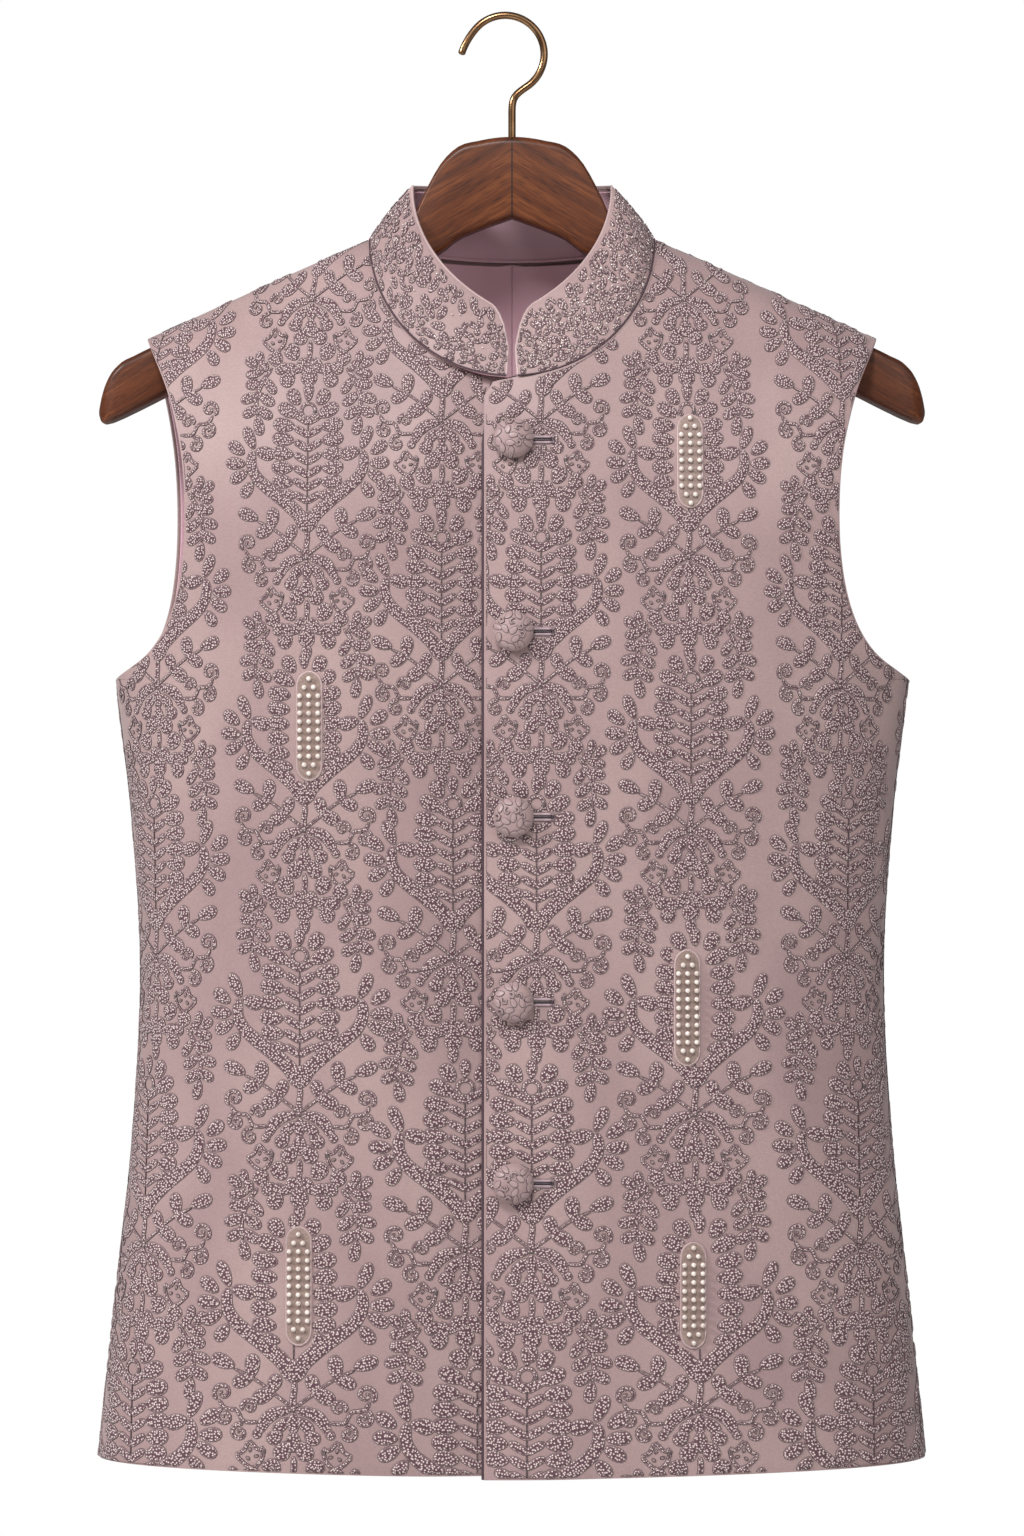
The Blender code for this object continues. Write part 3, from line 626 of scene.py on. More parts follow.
def collar_rails():
    """The collar at x >= 0 from its end to the middle back: its seam line, its top
    line and the direction in which it leaves the seam."""
    base, top, normal = [], [], []
    for side in (FRONT, BACK):
        turn = finely(neck_turns(side))[:, 0]
        angle = turn * math.pi / 2
        x, z = neck_curve(side, turn)
        y = cloth(x, z, side) + side * GAP / 2
        if side == FRONT:
            (y_mid, z_mid), lean = COLLAR_TOP_FRONT, angle - COLLAR_LEAN * np.sin(2 * angle)
            climb = (1 - np.cos(lean)) / 2 + lean / math.pi
        else:
            (y_mid, z_mid), lean = COLLAR_TOP_BACK, angle
            climb = 1 - np.cos(lean)
        top_x = COLLAR_TOP_HALF * np.sin(lean)
        top_z = z_mid + (COLLAR_TOP_SIDE - z_mid) * climb
        onward = slice(None) if side == FRONT else slice(-2, None, -1)
        base.append(np.stack([x, y, z], axis=1)[onward])
        top.append(np.stack([top_x, y_mid * np.cos(lean), top_z], axis=1)[onward])
        normal.append(surface_normal(x, z, side)[onward])
    base, top, normal = (np.concatenate(part) for part in (base, top, normal))
    into = unit(np.cross(normal, unit(np.gradient(base, axis=0))))
    into *= np.sign(into[:, 2:3])
    upright = COLLAR_UPRIGHT * smoothstep(3 * np.linspace(0, 1, len(base)))[:, None]
    lead = unit(into * (1 - upright) + np.array([0, 0, 1.0]) * upright)
    return base, top, lead


def collar_surface():
    """Fine grid over the collar, from its seam up and from its right end round."""
    base, top, lead = collar_rails()
    height = np.linalg.norm(top - base, axis=1)[:, None]
    bend = base + COLLAR_BEND * height * lead
    start = base + 1.7 * GAP * lead
    along = lengths_along(base)
    short = np.clip(COLLAR_CORNER - along, 0, COLLAR_CORNER)
    cut = COLLAR_CORNER - np.sqrt(COLLAR_CORNER**2 - short**2)
    reach = 1 - cut[:, None] / height
    rows = []
    for rise in np.linspace(0, 1, COLLAR_ROWS * FINE + 1):
        t = rise * reach
        rows.append(start * (1 - t) ** 2 + 2 * t * (1 - t) * bend + top * t**2)
    half = np.stack(rows)
    other = half[:, :-1] * np.array([-1, 1, 1])
    return np.concatenate([other, half[:, ::-1]], axis=1)


def collar_normals(fine):
    """Unit normals of the collar's grid, outwards."""
    normals = np.cross(np.gradient(fine, axis=0), np.gradient(fine, axis=1))
    return unit(normals) * np.sign(normals[0, fine.shape[1] // 2, 1])


# ---------------------------------------------------------------- flat pattern to body

PRESSED = [  # places where trims hold the embroidery down: x, z, half sizes
    ((HOLE_INNER + HOLE_OUTER) / 2, z, (HOLE_OUTER - HOLE_INNER) / 2 + 0.0012, 0.0032)
    for z in BUTTON_HEIGHTS
] + [(x, z, PEARL_PANEL_WIDTH / 2 + 0.0004, size / 2) for x, z, size in PEARL_PANELS]


class Panel:
    """One panel of cloth, with the map from its flat pattern onto the body."""

    def __init__(self, side, ring, layer=None, mirror=1):
        self.side, self.layer, self.mirror, self.ring = side, layer, mirror, ring
        self.heights = np.linspace(HEM_FRONT["over"] - 0.002, NECK_POINT, 160)
        self.arcs = np.arange(0, WIDEST_ARC, ARC_STEP)
        self.across = np.empty((len(self.heights), len(self.arcs)))
        for row, z in enumerate(self.heights):
            x = through(BODY[:, 0], BODY[:, 1], z) * crowded(240, 2)
            y = cloth(x, np.full_like(x, z), side)
            reached = lengths_along(np.stack([x, y], axis=1))
            self.across[row] = np.interp(self.arcs, reached, x)

    def spread(self, flat):
        """(x, z) on the body for flat pattern points (arc from the middle, height)."""
        arc, z = np.abs(flat[:, 0]), flat[:, 1]
        # Both stop just short of the table's last row and column.
        row = np.clip((z - self.heights[0]) / np.ptp(self.heights), 0, 1)
        row = row * (len(self.heights) - 1.001)
        column = np.clip(arc / ARC_STEP, 0, len(self.arcs) - 1.001)
        x = read_grid(self.across, row, column)
        return np.stack([np.sign(flat[:, 0]) * x, z], axis=1)

    def points(self, places, lift):
        """Points this far above the cloth at (x, z) places."""
        x, z = places.T
        y = cloth(x, z, self.side) + self.side * GAP / 2
        if self.layer:
            y = y + lap(self.mirror * x, self.layer)
        normal = surface_normal(x, z, self.side)
        return np.stack([x, y, z], axis=1) + lift[:, None] * normal


def nearest_on_ring(points, ring):
    """For each point: its nearest point on a closed ring, its distance and whether it
    is inside."""
    start, end = ring, np.roll(ring, -1, axis=0)
    run = end - start
    square = np.maximum((run**2).sum(axis=1), 1e-12)
    nearest, gap, inside = [], [], []
    for part in np.array_split(points, max(1, len(points) // 1500)):
        away = part[:, None, :] - start[None]
        t = np.clip((away * run).sum(axis=2) / square, 0, 1)
        foot = start + t[..., None] * run
        distance = np.linalg.norm(part[:, None, :] - foot, axis=2)
        best = distance.argmin(axis=1)
        rows = np.arange(len(part))
        nearest.append(foot[rows, best])
        gap.append(distance[rows, best])
        above = (start[:, 1] > part[:, 1:2]) != (end[:, 1] > part[:, 1:2])
        with np.errstate(divide="ignore", invalid="ignore"):
            crossing = start[:, 0] + (part[:, 1:2] - start[:, 1]) * run[:, 0] / run[:, 1]
        inside.append((above & (part[:, :1] < crossing)).sum(axis=1) % 2 == 1)
    return np.concatenate(nearest), np.concatenate(gap), np.concatenate(inside)


def border(*edges):
    """A closed ring of (x, z) points from edges given as runs of 3-D points."""
    ring = np.concatenate(edges)[:, [0, 2]]
    step = np.linalg.norm(ring - np.roll(ring, 1, axis=0), axis=1)
    return ring[step > 1e-5]


def front_panel(layer):
    """One front's panel, with the border that its embroidery keeps to."""
    mirror, edge = (1, -LAP_OVER) if layer == "over" else (-1, -LAP_UNDER)
    grid = half_panel(FRONT, mirror, edge, layer)
    ring = border(grid[0], grid[:, -1], grid[-1, ::-1], grid[::-1, 0])
    return Panel(FRONT, ring, layer, mirror)


def back_panel():
    """The back's panel, both halves in one border."""
    left, right = half_panel(BACK, 1), half_panel(BACK, -1)
    neck = MIDDLE_ROWS * FINE
    ring = border(
        left[0], left[:, -1], left[-1, ::-1], left[:neck:-1, 0],
        right[neck:, 0], right[-1], right[::-1, -1], right[0, ::-1],
    )
    return Panel(BACK, ring)


# ---------------------------------------------------------------- stitched shapes


class Stitches:
    """Raised shapes of embroidery in flat coordinates, gathered into one mesh.

    Each shape is a low closed dome. depth is how far a point lies in from its
    shape's rim, and thread is its place in the shape's own run of stitches.
    """

    def __init__(self):
        self.flat, self.lift, self.depth, self.thread = [], [], [], []
        self.shape, self.faces, self.count, self.shapes = [], [], 0, 0

    def add(self, flat, lift, depth, thread, faces):
        self.flat.append(np.asarray(flat, float))
        self.lift.append(np.asarray(lift, float))
        self.depth.append(np.asarray(depth, float))
        # A shift of its own keeps shapes that are alike from having the same knots.
        shift = np.array([0.0137, 0.0071]) * self.shapes
        self.thread.append(np.asarray(thread, float) + shift)
        self.shape.append(np.full(len(flat), self.shapes))
        self.faces += [tuple(i + self.count for i in face) for face in faces]
        self.count += len(flat)
        self.shapes += 1

    def leaf(self, across, up, degrees, length, width, height=0.0008, steps=14):
        """A rounded leaf about its middle, narrower towards its stalk."""
        turn = 2 * math.pi * (np.arange(steps) + 0.5) / steps
        x = -np.cos(turn) * length / 2
        y = np.sin(turn) * width / 2 * (0.96 - 0.18 * np.cos(turn))
        rim = np.stack([x, y], axis=1)
        spine = np.stack([np.clip(x * 0.55, -length, length), 0 * y], axis=1)
        # Rings from the rim, which is sunk in the cloth, up to the spine.
        shares, lifts = (1.0, 0.84, 0.45), (-0.2, 0.66, 1.0)
        rings = [spine + (rim - spine) * share for share in shares]
        local = np.concatenate(rings)
        self.add(
            turned(local, degrees) + (across, up),
            np.repeat(lifts, steps) * height,
            np.concatenate([np.linalg.norm(rim - ring, axis=1) for ring in rings]),
            local,
            ring_faces(steps, len(rings)),
        )

    def band(self, path, widths, height=0.0007, step=0.0021, closed=False):
        """A band along a path. widths are at its start, middle and end."""
        path = np.asarray(path, float)
        if closed:
            path = np.concatenate([path, path[:1]])
        else:
            knots = np.linspace(0, 1, len(path))
            fine = np.linspace(0, 1, 60)
            path = np.stack([through(knots, c, fine) for c in path.T], axis=1)
        reached = lengths_along(path)
        count = max(4, int(round(reached[-1] / step)))
        share = np.linspace(0, 1, count + 1)
        line = spaced(path, share)
        if closed:
            line = line[:-1]
            run = np.roll(line, -1, axis=0) - np.roll(line, 1, axis=0)
            width = np.full(count, widths[1])
        else:
            run = np.gradient(line, axis=0)
            width = np.interp(share, (0, 0.5, 1), widths)
            ends = np.minimum(share, 1 - share) * reached[-1]
            width = width * np.sqrt(np.clip(0.15 + ends / (0.6 * width), 0, 1))
        out = unit(np.stack([-run[:, 1], run[:, 0]], axis=1))
        # Across the band: from one sunk edge over its crest to the other.
        offsets = np.array([-0.5, -0.36, 0.0, 0.36, 0.5])
        lifts = np.array([-0.2, 0.7, 1.0, 0.7, -0.2]) * height
        rows = len(line)
        flat = line[:, None] + offsets[None, :, None] * width[:, None, None] * out[:, None]
        depth = (0.5 - np.abs(offsets))[None] * width[:, None]
        along = lengths_along(line)
        thread = np.stack(
            np.broadcast_arrays(along[:, None], offsets[None] * width[:, None]), axis=2
        )
        faces = []
        for i in range(rows if closed else rows - 1):
            a, b = i * 5, (i + 1) % rows * 5
            faces += [(a + k + 1, a + k, b + k, b + k + 1) for k in range(4)]
            faces.append((a, a + 4, b + 4, b))
        if not closed:
            end = (rows - 1) * 5
            faces.append((0, 1, 2, 3, 4))
            faces.append((end + 4, end + 3, end + 2, end + 1, end))
        self.add(
            flat.reshape(-1, 2), np.tile(lifts, rows), depth.ravel(), thread.reshape(-1, 2), faces
        )

    def spiral(self, across, up, radius, degrees, turns, width):
        """A curl, from its outer end in. Its band narrows towards its middle."""
        t = np.linspace(0, 1, 26)
        angle = math.radians(degrees) + turns * 2 * math.pi * t
        reach = radius * (1 - 0.86 * t)
        path = np.column_stack([across + reach * np.cos(angle), up + reach * np.sin(angle)])
        self.band(path, (width, width * 0.9, width * 0.7), step=0.0017)

    def outline(self, corners, width):
        """A closed band through corners, each a little rounded."""
        corners = np.asarray(corners, float)
        before, after = np.roll(corners, 1, axis=0), np.roll(corners, -1, axis=0)
        smooth = [
            corners * 0.75 + before * 0.25,
            corners * 0.9 + before * 0.05 + after * 0.05,
            corners * 0.75 + after * 0.25,
        ]
        self.band(np.stack(smooth, axis=1).reshape(-1, 2), (width,) * 3, closed=True)

    def arrays(self):
        """The flat places, lifts, depths, threads and shape numbers of all points."""
        parts = self.flat, self.lift, self.depth, self.thread, self.shape
        return [np.concatenate(part) for part in parts]


def direction(degrees):
    """Unit (across, up) vector at an angle from across."""
    angle = math.radians(degrees)
    return np.array([math.cos(angle), math.sin(angle)])


def turned(points, degrees):
    cos, sin = direction(degrees)
    return points @ np.array([[cos, sin], [-sin, cos]])


def ring_faces(steps, rings):
    """Faces between rings of points, from the rim in, with both ends closed."""
    faces = []
    for ring in range(rings - 1):
        a, b = ring * steps, (ring + 1) * steps
        for i in range(steps):
            j = (i + 1) % steps
            faces.append((a + i, b + i, b + j, a + j))
    last = (rings - 1) * steps
    faces.append(tuple(range(steps)))
    faces.append(tuple(last + i for i in reversed(range(steps))))
    return faces


def tree_stitches(pearl_span=None):
    """One tree of the pattern. pearl_span, if given, is the run of heights where a
    pearl panel takes the place of its chevrons."""
    made = Stitches()
    for across, up, degrees, length, width in LEAVES:
        for side, way in ((1, degrees), (-1, 180 - degrees)):
            made.leaf(side * across * MM, up * MM, way, length * MM, width * MM)
    for across, up, degrees, length, width in MIDDLE_LEAVES:
        made.leaf(across * MM, up * MM, degrees, length * MM, width * MM)
    for widths, path in BANDS:
        for side in (1, -1):
            made.band(np.array(path) * MM * (side, 1), np.array(widths) * MM)
    for widths, path in MIDDLE_BANDS:
        made.band(np.array(path) * MM, np.array(widths) * MM)
    for up in CHEVRONS:
        if not (pearl_span and pearl_span[0] - 5 < up < pearl_span[1] - 1):
            made.band((np.array(CHEVRON) + (0, up)) * MM, (CHEVRON_WIDTH * MM,) * 3)
    for across, up, radius, degrees, turns in SPIRALS:
        for side, way in ((1, degrees), (-1, 180 - degrees)):
            made.spiral(
                side * across * MM, up * MM, radius * MM, way, side * turns, SPIRAL_WIDTH * MM
            )
    middle = np.mean(CROWN, axis=0)
    for side in (-1, 1):
        made.outline(np.array(CROWN) * MM * (side, 1), CROWN_WIDTH * MM)
        for degrees in SEEDS:
            across, up = middle + SEED_REACH * direction(degrees)
            made.leaf(
                side * across * MM, up * MM, degrees, SEED_LENGTH * MM, SEED_WIDTH * MM, 0.0005, 8
            )
    if not (pearl_span and pearl_span[1] > RING[1] - 4):
        across, up, radius, width = (value * MM for value in RING)
        path = [(across, up) + radius * direction(degrees) for degrees in range(0, 360, 30)]
        made.band(path, (width,) * 3, closed=True)
    return made


def cut_at_border(panel, xz, lifts, shape):
    """Draw points that lie past a panel's border back onto it.

    Returns for each shape whether it is on the panel or near its border, and keeps
    most of itself.
    """
    size = np.bincount(shape)
    centres = np.stack([np.bincount(shape, xz[:, k]) / size for k in (0, 1)], axis=1)
    _, gap, inside = nearest_on_ring(centres, panel.ring)
    near_shape = gap < BORDER_REACH
    near = near_shape[shape]
    outside = np.zeros(len(xz))
    if near.any():
        foot, distance, within = nearest_on_ring(xz[near], panel.ring)
        # Where the cloth turns away, at the seams, a small step covers much cloth.
        facing = np.abs(surface_normal(*foot.T, panel.side)[:, 1])
        margin = BORDER_MARGIN * facing**2
        inward = np.where(within, 1.0, -1.0)[:, None] * (xz[near] - foot)
        inward = inward / np.maximum(distance, 1e-9)[:, None]
        moved = foot + inward * margin[:, None]
        cut = ~within | (distance < margin)
        xz[near] = np.where(cut[:, None], moved, xz[near])
        outside[near] = ~within
        lifts[near] *= np.where(within, 1.0, 0.5)
    return (inside | near_shape) & (np.bincount(shape, outside) / size < MOST_LOST)


def lay(panel, stitches, placed, limit=None):
    """The tree's shapes at each place on a panel, cut off at the panel's border.

    limit is how far from the middle they stop, where a lap hides the panel. Returns
    the points, depths, threads and faces of one mesh.
    """
    flat, lift, depth, thread, shape = stitches.arrays()
    all_points, all_depth, all_thread, faces, count = [], [], [], [], 0
    for number, (arc, height, (across, above, below)) in enumerate(placed):
        stretched = flat * (across, 1)
        stretched[:, 1] *= np.where(flat[:, 1] > 0, above, below)
        xz = panel.spread(stretched + (arc, height))
        lifts = lift.copy()
        keep_shape = cut_at_border(panel, xz, lifts, shape)
        if limit is not None:
            beyond = panel.mirror * xz[:, 0] < limit
            xz[beyond, 0] = panel.mirror * limit
            keep_shape &= np.bincount(shape, beyond) / np.bincount(shape) < MOST_LOST
        if panel.side == FRONT:
            for x, z, half_x, half_z in PRESSED:
                under = (np.abs(xz[:, 0] - x) < half_x) & (np.abs(xz[:, 1] - z) < half_z)
                lifts[under] = HELD_DOWN
        if not keep_shape.any():
            continue
        points = panel.points(xz, lifts)
        keep = keep_shape[shape]
        index = np.cumsum(keep) - 1 + count
        for face in stitches.faces:
            if keep[face[0]]:
                face = tuple(int(index[i]) for i in face)
                faces.append(face if panel.side == FRONT else face[::-1])
        all_points.append(points[keep])
        all_depth.append(depth[keep])
        all_thread.append(thread[keep] + number * np.array([0.31, 0.17]))
        count += int(keep.sum())
    return all_points, all_depth, all_thread, faces


def embroidery(name, parts):
    """Mesh object of stitched shapes from lay()."""
    points, depth, thread, faces = [], [], [], []
    for part_points, part_depth, part_thread, part_faces in parts:
        offset = sum(len(p) for p in points)
        faces += [tuple(i + offset for i in face) for face in part_faces]
        points += part_points
        depth += part_depth
        thread += part_thread
    return stitched_object(
        name, np.concatenate(points), np.concatenate(depth), np.concatenate(thread), faces
    )


def stitched_object(name, points, depth, thread, faces):
    """Mesh object of raised shapes, with their depths and threads for the material."""
    mesh = bpy.data.meshes.new(name)
    mesh.from_pydata(points.tolist(), [], faces)
    layer = mesh.attributes.new("depth", "FLOAT", "POINT")
    layer.data.foreach_set("value", depth.astype(np.float32))
    corners = np.empty(len(mesh.loops), np.int32)
    mesh.loops.foreach_get("vertex_index", corners)
    uv = mesh.uv_layers.new(name="thread")
    uv.data.foreach_set("uv", thread[corners].astype(np.float32).ravel())
    bm = bmesh.new()
    bm.from_mesh(mesh)
    bmesh.ops.dissolve_degenerate(bm, dist=2e-5, edges=bm.edges[:])
    bm.to_mesh(mesh)
    bm.free()
    mesh.shade_smooth()
    obj = linked(name, mesh)
    finish(obj, "knot_embroidery")
    return obj


# ---------------------------------------------------------------- meshes


def deselect():
    if bpy.context.object and bpy.context.object.mode != "OBJECT":
        bpy.ops.object.mode_set(mode="OBJECT")
    bpy.ops.object.select_all(action="DESELECT")


def pick(obj):
    """Make this the one selected object."""
    deselect()
    obj.select_set(True)
    bpy.context.view_layer.objects.active = obj


def linked(name, data):
    """A new object in the scene."""
    obj = bpy.data.objects.new(name, data)
    bpy.context.collection.objects.link(obj)
    return obj


def smooth(obj, degrees):
    """Shade a piece smooth, apart from edges sharper than this."""
    pick(obj)
    bpy.ops.object.shade_smooth_by_angle(angle=math.radians(degrees))


def finish(obj, material):
    """Give a finished piece its material and the body it rides on."""
    obj.data.materials.clear()
    obj.data.materials.append(MATERIALS[material])
    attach(obj, "root")


def wall(name, sheets):
    """Closed wall of cloth from grids of outer and inner points.

    Sheets that meet at the middle are joined there.
    """
    bm = bmesh.new()
    for outer, inner in sheets:
        rows, columns = outer.shape[:2]
        out, ins = ([[bm.verts.new(p) for p in row] for row in grid] for grid in (outer, inner))
        quads = []
        for i in range(rows - 1):
            for j in range(columns - 1):
                quads.append((out[i][j], out[i][j + 1], out[i + 1][j + 1], out[i + 1][j]))
                quads.append((ins[i][j], ins[i + 1][j], ins[i + 1][j + 1], ins[i][j + 1]))
        rim = [(0, j) for j in range(columns)] + [(i, columns - 1) for i in range(1, rows)]
        rim += [(rows - 1, j) for j in range(columns - 2, -1, -1)]
        rim += [(i, 0) for i in range(rows - 2, 0, -1)]
        for (i, j), (k, m) in zip(rim, rim[1:] + rim[:1]):
            quads.append((out[i][j], ins[i][j], ins[k][m], out[k][m]))
        for quad in quads:
            bm.faces.new(quad)
    if len(sheets) > 1:
        bmesh.ops.remove_doubles(bm, verts=bm.verts[:], dist=1e-6)
        inside = [face for face in bm.faces if all(abs(v.co.x) < 1e-5 for v in face.verts)]
        bmesh.ops.delete(bm, geom=inside, context="FACES_ONLY")
    bmesh.ops.recalc_face_normals(bm, faces=bm.faces[:])
    mesh = bpy.data.meshes.new(name)
    bm.to_mesh(mesh)
    bm.free()
    return linked(name, mesh)


def soften(obj, width, segments=2):
    """Round a piece's sharp edges."""
    pick(obj)
    bevel = obj.modifiers.new("rounded edges", "BEVEL")
    bevel.width = width
    bevel.segments = segments
    bevel.limit_method = "ANGLE"
    bevel.angle_limit = math.radians(50)
    bpy.ops.object.modifier_apply(modifier=bevel.name)
    smooth(obj, 40)


def drawn_through(name, rings):
    """A primitive circle, extruded through rings of points, and closed at its ends."""
    deselect()
    bpy.ops.mesh.primitive_circle_add(vertices=len(rings[0]), fill_type="NGON")
    obj = bpy.context.object
    obj.name = name
    bpy.ops.object.mode_set(mode="EDIT")
    bm = bmesh.from_edit_mesh(obj.data)
    place = bm.verts.layers.int.new("place")
    bm.verts.ensure_lookup_table()
    for i, vertex in enumerate(bm.verts):
        vertex[place] = i
    for number, ring in enumerate(rings):
        if number:
            bpy.ops.mesh.extrude_region_move()
            bm = bmesh.from_edit_mesh(obj.data)
            place = bm.verts.layers.int["place"]
        for vertex in bm.verts:
            if vertex.select:
                vertex.co = ring[vertex[place]]
        bmesh.update_edit_mesh(obj.data)
    bpy.ops.mesh.select_all(action="SELECT")
    bpy.ops.mesh.normals_make_consistent(inside=False)
    bpy.ops.object.mode_set(mode="OBJECT")
    settle(obj)
    return obj


def settle(obj):
    """Put a finished piece's place in its mesh, with its object at the origin."""
    obj.data.transform(obj.matrix_world)
    obj.matrix_world.identity()


def balls(name, places, diameter, detail):
    """One mesh of many small round balls."""
    deselect()
    bpy.ops.mesh.primitive_ico_sphere_add(subdivisions=detail, radius=0.5)
    template = bpy.context.object
    points = np.array([vertex.co for vertex in template.data.vertices])
    faces = [tuple(polygon.vertices) for polygon in template.data.polygons]
    bpy.data.objects.remove(template)
    all_points, all_faces = [], []
    for number, place in enumerate(places):
        all_points.append(points * diameter + place)
        all_faces += [tuple(i + number * len(points) for i in face) for face in faces]
    made = bpy.data.meshes.new(name)
    made.from_pydata(np.concatenate(all_points).tolist(), [], all_faces)
    made.shade_smooth()
    return linked(name, made)


def tube(name, points, radius, radii=None, closed=False, resolution=3):
    """A round cord through points, as a mesh. radii are shares of its radius."""
    curve = bpy.data.curves.new(name, "CURVE")
    curve.dimensions = "3D"
    curve.bevel_depth = radius
    curve.bevel_resolution = resolution
    curve.use_fill_caps = True
    spline = curve.splines.new("POLY")
    spline.points.add(len(points) - 1)
    for number, point in enumerate(points):
        spline.points[number].co = (*point, 1)
        if radii is not None:
            spline.points[number].radius = radii[number]
    spline.use_cyclic_u = closed
    pick(linked(name, curve))
    bpy.ops.object.convert(target="MESH")
    obj = bpy.context.object
    bpy.ops.object.mode_set(mode="EDIT")
    bpy.ops.mesh.select_all(action="SELECT")
    bpy.ops.mesh.remove_doubles(threshold=1e-5)
    bpy.ops.mesh.normals_make_consistent(inside=False)
    bpy.ops.object.mode_set(mode="OBJECT")
    smooth(obj, 50)
    return obj


# ---------------------------------------------------------------- materials


def linear(code):
    """Linear RGB of an sRGB hex colour."""
    values = [int(code[i : i + 2], 16) / 255 for i in (1, 3, 5)]
    return tuple(v / 12.92 if v <= 0.04045 else ((v + 0.055) / 1.055) ** 2.4 for v in values)


def add(tree, kind, inputs=None, **settings):
    """Add a node with its settings. Inputs take a value or another node's output."""
    node = tree.nodes.new(kind)
    for name, value in settings.items():
        setattr(node, name, value)
    for name, value in (inputs or {}).items():
        if isinstance(value, bpy.types.NodeSocket):
            tree.links.new(value, node.inputs[name])
        else:
            node.inputs[name].default_value = value
    return node


def ramp(tree, factor, stops):
    """A colour ramp with stops of (position, hex colour)."""
    node = add(tree, "ShaderNodeValToRGB", {"Fac": factor})
    elements = node.color_ramp.elements
    while len(elements) < len(stops):
        elements.new(0.5)
    for element, (position, colour) in zip(elements, stops):
        element.position = position
        element.color = (*linear(colour), 1)
    return node.outputs["Color"]


def new_material(key, name, **values):
    """A material with a Principled shader, kept under a key: its tree and shader."""
    made = bpy.data.materials.new(name)
    made.use_nodes = True
    shader = made.node_tree.nodes["Principled BSDF"]
    for socket, value in values.items():
        shader.inputs[socket.replace("_", " ")].default_value = value
    MATERIALS[key] = made
    return made.node_tree, shader


def mixed(tree, factor, a, b, blend="MIX"):
    node = add(tree, "ShaderNodeMix", data_type="RGBA", blend_type=blend)
    for socket, value in ((node.inputs[0], factor), (node.inputs[6], a), (node.inputs[7], b)):
        if isinstance(value, bpy.types.NodeSocket):
            tree.links.new(value, socket)
        elif isinstance(value, str):
            socket.default_value = (*linear(value), 1)
        else:
            socket.default_value = value
    return node.outputs[2]


def on_object(tree):
    return add(tree, "ShaderNodeTexCoord").outputs["Object"]


def rim_depth(tree):
    """How far a point of a stitched shape lies in from its rim, in metres."""
    return add(tree, "ShaderNodeAttribute", attribute_name="depth").outputs["Fac"]


def noise(tree, place, cells, **inputs):
    """Noise with this many cells a metre along X, Y and Z."""
    vector = add(tree, "ShaderNodeVectorMath", {0: place, 1: cells}, operation="MULTIPLY")
    inputs = {"Vector": vector.outputs["Vector"], "Scale": 1.0, **inputs}
    return add(tree, "ShaderNodeTexNoise", inputs).outputs["Fac"]


def between(tree, value, low, high, start=0.0, end=1.0):
    """A value's place between two others, drawn out from start to end."""
    inputs = {"Value": value, "From Min": low, "From Max": high, "To Min": start, "To Max": end}
    return add(tree, "ShaderNodeMapRange", inputs).outputs["Result"]


def coloured(tree, shader, colour):
    tree.links.new(colour, shader.inputs["Base Color"])


def bumped(tree, shader, height, distance, strength=1.0, normal=None):
    inputs = {"Height": height, "Distance": distance, "Strength": strength}
    if normal:
        inputs["Normal"] = normal
    bump = add(tree, "ShaderNodeBump", inputs).outputs["Normal"]
    tree.links.new(bump, shader.inputs["Normal"])
    return bump


def silk(key, name, colour, shade, roughness, sheen):
    """Plain-woven silk: a soft even glow, a fine grain, no pattern of its own."""
    tree, shader = new_material(
        key,
        name,
        Roughness=roughness,
        Sheen_Weight=sheen,
        Sheen_Roughness=0.45,
        Specular_IOR_Level=0.35,
    )
    place = on_object(tree)
    # The weave's grain, about 1 mm across.
    grain = noise(tree, place, (900, 900, 1300), Detail=2.0)
    # Broad soft unevenness, 60 mm across, as hanging cloth catches the light.
    tone = between(tree, noise(tree, place, (16, 16, 9)), 0.35, 0.65)
    fine = ramp(tree, grain, ((0.3, "#eeeeee"), (0.7, "#ffffff")))
    base = mixed(tree, tone, shade, colour)
    coloured(tree, shader, mixed(tree, 1.0, base, fine, "MULTIPLY"))
    bumped(tree, shader, grain, 0.00006, 0.4)


def knot_embroidery(settings):
    """Knotted silk embroidery: knots with a painted highlight on their tops and painted shade in
    the gaps between them, inside a smooth edge and a thin dark outline."""
    tree, shader = new_material(
        "knot_embroidery",
        "knotted silk embroidery",
        Roughness=0.5,
        Sheen_Weight=0.15,
        Specular_IOR_Level=0.45,
    )
    thread = add(tree, "ShaderNodeUVMap", uv_map="thread").outputs["UV"]
    knots = add(
        tree,
        "ShaderNodeTexVoronoi",
        {"Vector": thread, "Scale": 1 / settings.knot, "Randomness": 0.75},
        voronoi_dimensions="2D",
    ).outputs["Distance"]
    # The ramp paints a highlight on each knot's top and shade in the gaps between knots.
    body = ramp(tree, knots, ((0.12, "#ffeee8"), (0.27, "#a88a8c"), (0.52, "#573942")))
    depth = rim_depth(tree)
    # The outline is half a millimetre wide, with a narrow smooth edge inside it. Its dark colour
    # is partly an outline thread, partly painted shade at the foot of each raised shape.
    rim = between(tree, depth, 0.0003, 0.0006)
    inside = between(tree, depth, 0.0005, 0.0008)
    edged = mixed(tree, inside, "#b59998", body)
    coloured(tree, shader, mixed(tree, rim, "#3b252d", edged))
    bumped(tree, shader, between(tree, knots, 0.1, 0.55, 1.0, 0.0), 0.0007)


def outlined_satin(key, name, line, fill):
    """Smooth satin, with dark lines along its edges: partly where it is sewn, partly painted shade
    at the foot of each raised shape.
    """
    tree, shader = new_material(key, name, Roughness=0.4, Sheen_Weight=0.2)
    rim = between(tree, rim_depth(tree), 0.00015, 0.0006)
    coloured(tree, shader, mixed(tree, rim, line, fill))


